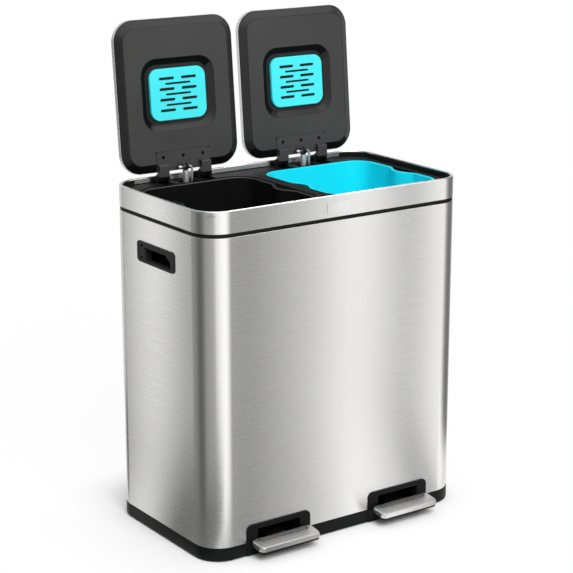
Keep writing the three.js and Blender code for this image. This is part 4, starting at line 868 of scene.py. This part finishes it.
def lid_cover(side):
    cover = cut(domed(lid_ring, 8, 0, LID_TOP_Z, 3.5, LID_EDGE_Z),
                domed(lid_ring, 8, SHEET, LID_TOP_Z - SHEET, 2.7, LID_EDGE_Z - 5))
    on_side(shade(cover), side, "lid", "lid_skin", wall_steel, "lid_cover")


def recess_ring(margin, z):
    """The basin's outline round the filter cap; its corners open less than its sides."""
    return ring(CAP_WIDTH + 2 * margin, CAP_LENGTH + 2 * margin, CAP_RADIUS + 0.7 * margin, y=FILTER_Y, z=z,
                steps=12)


def liner_tone(face):
    """Nought for the grained raised face, one for its polished slopes, two for painted shade on the slopes
    turned to the hinge and the recess's right-facing walls.
    """
    if abs(face.center.z / MM - PLATEAU_Z) < 0.12:
        return 0
    in_recess = abs(face.center.x) / MM < CAP_WIDTH / 2 + 24
    return 2 if face.normal.y > 0.3 or (in_recess and face.normal.x > 0.3) else 1


def lid_liner(side):
    edge, wall = SHEET + FIT, 2.2
    back = LID_TOP_Z - SHEET - 3.5
    basin_floor = PLATEAU_Z + RECESS_DEPTH
    outer = skin("liner", [lid_ring(edge + inset, z) for inset, z in (
        (0, back), (0, LID_EDGE_Z + 0.8), (0.3, LID_EDGE_Z + 0.25), (0.9, LID_EDGE_Z - 0.1),
        (BEVEL - 2.2, PLATEAU_Z + 1.15), (BEVEL - 0.8, PLATEAU_Z + 0.45), (BEVEL + 0.6, PLATEAU_Z + 0.1),
        (BEVEL + 2.2, PLATEAU_Z))])
    hollow = skin("hollow", [lid_ring(edge + wall, back + 1), lid_ring(edge + wall, LID_EDGE_Z + wall),
                             lid_ring(edge + wall + BEVEL, PLATEAU_Z + wall)])
    basin = skin("basin", [recess_ring(21.2, PLATEAU_Z + 0.5), recess_ring(9.7, basin_floor + wall)])
    recess = skin("recess", [recess_ring(margin, z) for margin, z in (
        (22.5, PLATEAU_Z - 1), (20.2, PLATEAU_Z), (19.3, PLATEAU_Z + 0.3), (18.6, PLATEAU_Z + 1),
        (8.6, basin_floor - 0.9), (7.9, basin_floor - 0.3), (6.8, basin_floor))])
    half = BRACKET_WIDTH / 2
    backing = block(-half, half, PLATE_FRONT_Y - 2, PLATE_REAR_Y - 0.4, PLATE_BACK_Z,
                    PLATE_BACK_Z + wall + 1)
    hold = block(-half - FIT, half + FIT, PLATE_FRONT_Y - FIT, PLATE_REAR_Y + 5, PLATEAU_Z - 5,
                 PLATE_BACK_Z + FIT)
    liner = shade(cut(join(cut(outer, hollow), basin, backing), recess, hold), 30)
    tones = [liner_tone(face) for face in liner.data.polygons]
    on_side(liner, side, "lid", "lid_inner", lid_moulding, "lid_liner")
    # the faces turned from the light get the painted shade finish
    paint_faces(liner, tones, lid_border, lid_painted_shade)


def slots(length, width, columns, rows, across, along):
    """Cutters for a block of equal slots, centred on the cap."""
    unit = slab("slot", ring(length, width, width / 2, steps=8), CAP_Z - 2, CAP_Z + 4)
    made = repeated(unit, columns, rows, across, along, filter_cyan)
    made.data.transform(Matrix.Translation((0, FILTER_Y * MM, 0)))
    return made


def cap_ring(inset, z, steps=12):
    return inset_ring(CAP_WIDTH, CAP_LENGTH, CAP_RADIUS, inset, y=FILTER_Y, z=z, steps=steps)


def filter_cap(side):
    back, wall, pitch = PLATEAU_Z + RECESS_DEPTH - FIT, 2, 20.3
    cap = skin("cap", [cap_ring(inset, z) for inset, z in (
        (0, back), (0, CAP_Z + 1.2), (0.2, CAP_Z + 0.6), (0.6, CAP_Z + 0.15), (1.2, CAP_Z))])
    cap = cut(cap, skin("hollow", [cap_ring(wall, back + 1), cap_ring(wall, CAP_Z + wall)]))
    cap = cut(cap, slots(34, 5.4, 2, 4, 49.6, 3 * pitch), slots(56.5, 4.0, 1, 3, 0, 2 * pitch))
    hand = HANDS[side]
    dress(seat(soften(cap, 0.35, 2), lid_place(side)), f"cap_{hand}_cover", f"cap_{hand}", filter_cyan,
          f"filter_cap_{hand}")


def carbon_pad(side):
    inside, low, high = 2.6, CAP_Z + 2 + FIT, PLATEAU_Z + RECESS_DEPTH - FIT
    pad = skin("pad", [cap_ring(inset, z, 8) for inset, z in (
        (inside + 0.8, low), (inside, low + 0.8), (inside, high))])
    on_side(shade(pad), side, "lid", "carbon_pad", carbon, "carbon_filter")


def hinge_bracket(side):
    half = BRACKET_WIDTH / 2
    depth = PLATE_REAR_Y - PLATE_FRONT_Y
    plate = slab("plate", ring(BRACKET_WIDTH, depth, 6, y=PLATE_REAR_Y - depth / 2, steps=SMALL),
                 PLATE_Z, PLATE_BACK_Z)
    heel = block(-half, half, PLATE_REAR_Y - 9, PLATE_REAR_Y, PLATE_Z, PLATE_BACK_Z)
    toe = -HOOK_FRONT - HOOK_TOE
    arm = rounded([(toe, PLATE_Z + 1, 0), (toe, PLATE_Z - 0.2, 0), (-HOOK_FRONT, -HOOK_REACH, 1.5),
                   (-3, -HOOK_REACH, 2), (3.5, -6, 2), (BARREL, 0, 0), (0, BARREL, 0), (-6, 3.5, 0),
                   (-10.6, PLATE_BACK_Z, 0), (-14, PLATE_BACK_Z, 0)], 4)
    arms, bores = [], []
    for hook in (-HOOK_X, HOOK_X):
        x0, x1 = hook - HOOK_WIDTH / 2, hook + HOOK_WIDTH / 2
        arms += [along_x("arm", arm, x0, x1), bar(BARREL, x0, x1, 0, 0)]
        bores.append(bar(HOOK_BORE, x0 - 1, x1 + 1, 0, 0, 24))
    notch = block(WIRE_LEFT - 4, CLEVIS_HALF, -27, PLATE_REAR_Y - 2.5, PLATE_Z - 5, PLATE_Z + 1.8)
    made = cut(join(plate, heel, *arms), notch, *bores)
    clevis = []
    for x0, x1 in ((-CLEVIS_HALF, -CLEVIS_GAP), (CLEVIS_GAP, CLEVIS_HALF)):
        clevis += [block(x0, x1, -LINK_AHEAD - EYE, -LINK_AHEAD + EYE, -LINK_BELOW, PLATE_BACK_Z - 0.5),
                   bar(EYE, x0, x1, -LINK_AHEAD, -LINK_BELOW)]
    holes = [bar(WIRE + FIT, -15, 15, -LINK_AHEAD, -LINK_BELOW, 24)]
    for x in (-SCREW_X, 0, SCREW_X):
        holes += [post(1.8, x, SCREW_Y, PLATE_Z - 1, PLATE_BACK_Z + 1),
                  post(3.5, x, SCREW_Y, PLATE_Z - 1, PLATE_Z + 1.6)]
    made = cut(join(made, *clevis), *holes)
    on_side(soften(made, 0.4, 2), side, "lid", "hinge_arms", bracket_black, "hinge_bracket")


def bracket_screws(side):
    low, under = PLATE_Z + 0.3, PLATE_Z + 1.5
    screw = turned("screw", [(2.3, low), (2.9, low + 0.2), (3.1, low + 0.6), (3.1, under), (1.3, under),
                             (1.3, PLATE_BACK_Z + 3)], 32)
    cross = [block(-x, x, -y, y, low - 1, low + 0.8) for x, y in ((1.5, 0.35), (0.35, 1.5))]
    screws = repeated(shade(cut(screw, *cross)), 3, 1, 2 * SCREW_X, 0, blackened_steel_and_groove_shade)
    screws.data.transform(Matrix.Translation((0, SCREW_Y * MM, 0)))
    hand = HANDS[side]
    dress(seat(screws, lid_place(side)), f"plate_screws_{hand}", f"lid_{hand}", blackened_steel_and_groove_shade,
          *(f"bracket_screw_{hand}_{letter}" for letter in "abc"))


# ---------------------------------------------------------------- link and damper

def bent_wire(path, radius, bend, sides=20, steps=8):
    """Round wire along (x, z) points in one plane, its bends rounded."""
    corners = [Vector((x, 0, z)) for x, z in path]
    centres = [corners[0]]
    for before, here, after in zip(corners, corners[1:], corners[2:]):
        into, away = (here - before).normalized(), (after - here).normalized()
        start = here - into * bend
        for i in range(steps + 1):
            a = math.pi / 2 * i / steps
            centres.append(start + into * bend * math.sin(a) + away * bend * (1 - math.cos(a)))
    centres.append(corners[-1])
    rings = []
    for i, centre in enumerate(centres):
        along = (centres[min(i + 1, len(centres) - 1)] - centres[max(i - 1, 0)]).normalized()
        across = Vector((-along.z, 0, along.x))
        rings.append([centre + across * (radius * math.cos(a)) + Vector((0, radius * math.sin(a), 0))
                      for a in (2 * math.pi * k / sides for k in range(sides))])
    return skin("wire", rings)


def push_rod(side):
    rod = bent_wire([(WIRE_LEFT, 0), (WIRE_X, 0), (WIRE_X, -ROD_LENGTH),
                     (WIRE_X - WIRE_FOOT, -ROD_LENGTH)], WIRE, 6)
    on_side(shade(rod), side, "rod", "rod_wire", wire_steel, "push_rod")


def rod_cap(side):
    radius = 4
    rings = []
    for turn in (math.pi * (i + 0.5) / 16 for i in range(16)):
        across, x = radius * math.sin(turn), WIRE_LEFT - radius * math.cos(turn)
        rings.append([Vector((x, p.x, p.y)) for p in circle(across, 32)])
    ball = cut(skin("ball", rings), bar(WIRE + FIT, WIRE_LEFT - 0.1, WIRE_LEFT + 6, 0, 0, 24))
    on_side(shade(ball), side, "rod", "rod_ball", wire_steel, "rod_cap")


def damper(side):
    eye = join(bar(EYE, -EYE_HALF, EYE_HALF, 0, 0),
               block(-EYE_HALF, EYE_HALF, 1 - EYE, EYE - 1, -DAMPER_TOP + FIT, 0))
    eye = soften(cut(eye, bar(WIRE + FIT, -4, 4, 0, 0, 24)), 0.4)
    on_side(eye, side, "damper", "damper_head", black_moulding, "damper_eye")
    top, bottom = -DAMPER_TOP, -DAMPER_TOP - DAMPER_TUBE
    groove = DAMPER - 0.5
    tube = turned("tube", [
        (3, top), (DAMPER - 1.2, top), (DAMPER - 0.3, top - 0.4), (DAMPER, top - 1.2), (DAMPER, top - 3.4),
        (groove, top - 3.8), (groove, top - 4.8), (DAMPER, top - 5.2), (DAMPER, bottom + 1),
        (DAMPER - 0.4, bottom + 0.3), (DAMPER - 1.2, bottom), (3, bottom), (3, top - 8), (1, top - 8)], 40)
    on_side(shade(tube, 30), side, "damper", "damper_barrel", tube_steel, "damper_tube")
    rod = join(post(2.4, 0, 0, -DAMPER_LENGTH, bottom + 30), bar(EYE, -EYE_HALF, EYE_HALF, 0, -DAMPER_LENGTH),
               bar(WIRE, -7, 7, 0, -DAMPER_LENGTH))
    on_side(soften(rod, 0.3), side, "damper_slide", "damper_stem", wire_steel, "damper_rod")


# ---------------------------------------------------------------- pedals

def pedal_ring(inset, z):
    return inset_ring(PEDAL_WIDTH, PEDAL_LENGTH, 9, inset, y=PEDAL_MID, z=z, steps=10)


def pedal_tread(side):
    """Steel tread: rolled edges, a pressed groove behind, open below."""
    low, sheet = PEDAL_TOP - PEDAL_HEIGHT + 2.2, 1.2
    outer = domed(pedal_ring, 6, 0, PEDAL_TOP, 3.0, low)
    inner = domed(pedal_ring, 6, sheet, PEDAL_TOP - sheet, 2, low - 5)
    back = block(-LEVER_HALF - 1, LEVER_HALF + 1, PEDAL_REAR - 4, PEDAL_REAR + 4, low - 5, 9.3)
    groove_y = PEDAL_REAR - 8.5
    rim = ring(PEDAL_WIDTH - 26, 11, 3, y=groove_y, steps=5)
    middle = ring(PEDAL_WIDTH - 30, 12, 2, y=groove_y + 2.3, steps=5)
    groove = cut(slab("groove", rim, PEDAL_TOP - 0.9, PEDAL_TOP + 1),
                 slab("middle", middle, PEDAL_TOP - 2, PEDAL_TOP + 2))
    tread = soften(cut(cut(outer, inner), back, groove), 0.25, 2)
    # the pressed groove's faces get the blackened screw steel: painted shade that draws the groove as a dark
    # line
    groove_shade_faces = []
    for face in tread.data.polygons:
        x, y, z = face.center / MM
        groove_shade_faces.append(abs(x) < PEDAL_WIDTH / 2 - 12 and abs(y - groove_y) < 6 and 0.2 < PEDAL_TOP - z < 1)
    on_side(tread, side, "pedal", "tread", tread_steel, "pedal_plate")
    paint_faces(tread, groove_shade_faces, blackened_steel_and_groove_shade)


def pedal_core(side):
    low, gap = PEDAL_TOP - PEDAL_HEIGHT - 2, 1.5
    lip = low + 3.9
    core = skin("core", [pedal_ring(inset, z) for inset, z in (
        (1.2, low), (0.6, low + 0.3), (0.2, low + 1), (0.2, lip), (gap, lip), (gap, PEDAL_TOP - 4.2),
        (4, PEDAL_TOP - 1.6))])
    core = cut(core, block(-LEVER_HALF - FIT, LEVER_HALF + FIT, PEDAL_REAR - 31, PEDAL_REAR + 5, 5.7, 9.3))
    on_side(shade(core), side, "pedal", "tread_core", black_moulding, "pedal_core")


def paint(node, finish):
    materials = frame["nodes"][node].data.materials
    materials.clear()
    materials.append(finish["material"])


def plain_nodes():
    """CAD pieces whose shape is right as it is: they only get their finish."""
    # the levers and anchors take the strap steel whose dark colour is painted shade
    finishes = {"damper_anchor": strap_painted_shade, "pedal_lever": strap_painted_shade, "pivot_pin": wire_steel}
    for hand in HANDS.values():
        for node, finish in finishes.items():
            paint(f"{node}_{hand}", finish)
        for end in "ab":
            paint(f"hinge_pin_{hand}_{end}", wire_steel)


# ---------------------------------------------------------------- studio

CAMERA_AZIMUTH = -34.96
CAMERA_ELEVATION = 15.24
CAMERA_DISTANCE = 3.436
CAMERA_TARGET = Vector((-0.0039, MID_Y * MM, 0.4524))
CAMERA_LENS = 111.1
ROOM_LIGHT = 0.45
SEEN_FLOOR = 0.97               # paper white for what is seen or mirrored
LIT_FLOOR = 0.45                # and for the light that it scatters back
SHADOW_NEAR, SHADOW_FAR = 0.02, 0.2     # metres from the bin over which its shadow fades to plain white
KEY_LIGHT = 2.5
OVERHEAD = 1700                 # millimetres up to the cards above the bin
HEADING = math.radians(-CAMERA_AZIMUTH)
VIEW = Vector((math.sin(HEADING), math.cos(HEADING), 0))
ACROSS = Vector((VIEW.y, VIEW.x, 0))    # level, square to the sight lines that the walls mirror


def camera():
    a, e = math.radians(CAMERA_AZIMUTH), math.radians(CAMERA_ELEVATION)
    back = Vector((math.sin(a) * math.cos(e), -math.cos(a) * math.cos(e), math.sin(e)))
    data = bpy.data.cameras.new("camera")
    data.lens = CAMERA_LENS
    data.clip_start, data.clip_end = 0.05, 50
    made = bpy.data.objects.new("camera", data)
    made.location = CAMERA_TARGET + back * CAMERA_DISTANCE
    made.rotation_mode = "QUATERNION"
    made.rotation_quaternion = (-back).to_track_quat("-Z", "Y")
    bpy.context.scene.collection.objects.link(made)
    bpy.context.scene.camera = made


def seen_or_mirrored(tree):
    """One for rays from the camera, mirrors and glass, nothing for light that is scattered."""
    rays = add_node(tree, "ShaderNodeLightPath").outputs
    seen = rays["Is Camera Ray"]
    for label in ("Is Glossy Ray", "Is Transmission Ray"):
        either = add_node(tree, "ShaderNodeMath", {0: seen, 1: rays[label]}, operation="MAXIMUM")
        seen = either.outputs["Value"]
    return seen


def white_room():
    """Even white world, full strength for what is seen or mirrored and softer for what is lit."""
    world = bpy.data.worlds.new("white_room")
    bpy.context.scene.world = world
    world.use_nodes = True
    tree = world.node_tree
    background = tree.nodes["Background"].inputs
    background["Color"].default_value = (1, 1, 1, 1)
    strength = add_node(tree, "ShaderNodeMapRange", {
        "Value": seen_or_mirrored(tree), "To Min": ROOM_LIGHT, "To Max": 1.0})
    tree.links.new(strength.outputs["Result"], background["Strength"])


def stage_sheet(name, corners, material):
    """One flat face of the studio, its corners in metres."""
    bm = bmesh.new()
    bm.faces.new([bm.verts.new(corner) for corner in corners])
    mesh = bpy.data.meshes.new(name)
    bm.to_mesh(mesh)
    bm.free()
    mesh.materials.append(material)
    made = bpy.data.objects.new(name, mesh)
    bpy.context.scene.collection.objects.link(made)
    return made


def floor():
    """White paper that keeps the bin's shadow close to it and burns out to plain white farther off."""
    size = 30.0
    paper = Shader("floor_paper", (SEEN_FLOOR,) * 3, 0.9, Specular_IOR_Level=0.0)
    seen = seen_or_mirrored(paper.tree)
    paper.tint(seen, (LIT_FLOOR,) * 3, (SEEN_FLOOR,) * 3)

    def vector(operation, value, constant=(0, 0, 0)):
        outputs = paper.node("ShaderNodeVectorMath", {0: value, 1: constant}, operation=operation).outputs
        return outputs["Value" if operation == "LENGTH" else "Vector"]

    from_middle = vector("ABSOLUTE", vector("SUBTRACT", paper.coordinates, (0, MID_Y * MM, 0)))
    half = (SIDE_X * MM, -FRONT_Y * MM, 0)
    away = vector("LENGTH", vector("MAXIMUM", vector("SUBTRACT", from_middle, half)))
    fade = paper.node("ShaderNodeMapRange", {
        "Value": away, "From Min": SHADOW_NEAR, "From Max": SHADOW_FAR, "To Min": 0.0, "To Max": 0.93},
        interpolation_type="SMOOTHSTEP")
    share = paper.node("ShaderNodeMath", {0: fade.outputs["Result"], 1: seen}, operation="MULTIPLY")
    white = paper.node("ShaderNodeEmission", {"Strength": 1.0})
    mixed = paper.node("ShaderNodeMixShader", {
        "Fac": share.outputs["Value"], 1: paper.surface.outputs["BSDF"], 2: white.outputs["Emission"]})
    paper.tree.links.new(mixed.outputs["Shader"], paper.tree.nodes["Material Output"].inputs["Surface"])
    stage_sheet("studio_floor", [(-size, -size, 0), (size, -size, 0), (size, size, 0), (-size, size, 0)],
                paper.material)


def soft_sun(name, towards, power, spread):
    """Even light from one side of the sky, its shadows softened over a wide angle."""
    data = bpy.data.lights.new(name, "SUN")
    data.energy = power
    data.angle = math.radians(spread)
    made = bpy.data.objects.new(name, data)
    made.rotation_mode = "QUATERNION"
    made.rotation_quaternion = Vector(towards).to_track_quat("Z", "Y")
    made.visible_glossy = False             # the cards below draw the reflections
    bpy.context.scene.collection.objects.link(made)


def card(name, corners, start, towards, tones):
    """A flat studio card that only mirror-like reflections see.

    Its tones are (millimetres from the start, grey) along a level direction, eased into each other.
    """
    material = bpy.data.materials.new(name)
    material.use_nodes = True
    tree = material.node_tree
    tree.nodes.clear()
    length = tones[-1][0] * MM
    place_on_card = add_node(tree, "ShaderNodeTexCoord").outputs["Object"]
    along = add_node(tree, "ShaderNodeVectorMath", {0: place_on_card, 1: towards / length},
                     operation="DOT_PRODUCT").outputs["Value"]
    share = add_node(tree, "ShaderNodeMath", {0: along, 1: (Vector(start) * MM).dot(towards) / length},
                     operation="SUBTRACT").outputs["Value"]
    ramp = add_node(tree, "ShaderNodeValToRGB", {"Fac": share})
    ramp.color_ramp.interpolation = "EASE"
    stops = ramp.color_ramp.elements
    for at, _ in tones[1:-1]:
        stops.new(at * MM / length)
    for stop, (_, grey) in zip(stops, tones):
        stop.color = (grey, grey, grey, 1)
    glow = add_node(tree, "ShaderNodeEmission", {"Color": ramp.outputs["Color"]})
    add_node(tree, "ShaderNodeOutputMaterial", {"Surface": glow.outputs["Emission"]})
    made = stage_sheet(name, [Vector(corner) * MM for corner in corners], material)
    for ray in ("camera", "diffuse", "transmission", "volume_scatter", "shadow"):
        setattr(made, f"visible_{ray}", False)


LEFT_TONES = [
    (0, 0.9), (180, 0.5), (350, 0.42), (470, 0.36), (565, 0.16), (640, 0.12), (700, 0.18), (790, 0.28),
    (930, 0.3), (1105, 0.28), (1150, 0.75), (1200, 1.3), (1240, 1.4), (1290, 1.05), (1370, 0.3),
    (1459, 0.2), (1600, 0.2), (2200, 0.3)]
FRONT_TONES = [
    (0, 1.0), (133, 1.2), (254, 1.3), (350, 1.0), (400, 0.62), (470, 0.36), (515, 0.3), (600, 0.5),
    (670, 0.64), (730, 0.9), (785, 1.2), (830, 1.12), (880, 0.88), (940, 0.46), (980, 0.52), (1012, 1.1),
    (1100, 1.3)]
RIGHT_TONES = [(0, 0.9), (60, 0.45), (180, 0.2), (320, 0.2), (420, 0.5), (560, 0.85), (820, 0.7)]


def upright_card(name, start, end, tones, high=1300):
    """A card that stands on the floor between two points."""
    (x0, y0), (x1, y1) = start, end
    corners = [(x0, y0, 0), (x1, y1, 0), (x1, y1, high), (x0, y0, high)]
    card(name, corners, corners[0], (Vector(corners[1]) - Vector(corners[0])).normalized(), tones)


def level_card(name, low, high, z, tones, start=None, towards=RIGHTWARDS):
    """A card that lies level, its tones from left to right unless a start and a direction are given."""
    (x0, y0), (x1, y1) = low, high
    card(name, [(x0, y0, z), (x1, y0, z), (x1, y1, z), (x0, y1, z)], start or (x0, 0, 0), towards, tones)


def floor_card(name, low, high, start, share, tones, strength=1.0):
    """A card on the floor that carries an upright card's tones on along the mirrored sight lines."""
    level_card(name, low, high, 1, [(at * share, grey * strength) for at, grey in tones], (*start, 0), ACROSS)


def studio():
    """A white room with one soft sun from the front, and grey and white cards for the steel to mirror."""
    white_room()
    floor()
    soft_sun("key", (-0.25, -0.85, 0.95), KEY_LIGHT, 40)
    upright_card("left_card", (-600, -700), (-600, 1500), LEFT_TONES)
    upright_card("front_card", (-460, -560), (640, -560), FRONT_TONES)
    upright_card("right_card", (600, -400), (600, 420), RIGHT_TONES)
    floor_card("left_floor_card", (-600, -700), (-310, 1500), (-600, -700), ACROSS.y, LEFT_TONES, 0.6)
    floor_card("front_floor_card", (-290, -560), (640, -185), (-460, -560), ACROSS.x, FRONT_TONES)
    upright_card("rear_card", (1900, 900), (-700, 900), [(0, 0.7), (1300, 0.72), (2600, 0.7)], 1500)
    level_card("mouth_card", (-285, -155), (285, 120), RIM_TOP - 9, [(0, 0.2), (285, 0.25), (570, 0.3)])
    level_card("hook_card", (380, 250), (1000, 600), OVERHEAD, [(0, 6.0), (620, 6.0)])
    level_card("overhead_box", (-1000, -1200), (1600, 0), OVERHEAD, [(0, 1.9), (1300, 2.2), (2600, 2.4)])


# ---------------------------------------------------------------- the bin

camera()
studio()
body_shell()
rim_band()
top_frame()
base_tray()
feet()
front_plate()
bucket(-1, bucket_black)
bucket(1, bucket_cyan)
for side in SIDES:
    for piece in (pedal_frame, handle, lid_buffers, lid_cover, lid_liner, filter_cap, carbon_pad,
                  hinge_bracket, bracket_screws, push_rod, rod_cap, damper, pedal_tread, pedal_core):
        piece(side)
plain_nodes()

scene = bpy.context.scene
scene.view_settings.view_transform = "Standard"
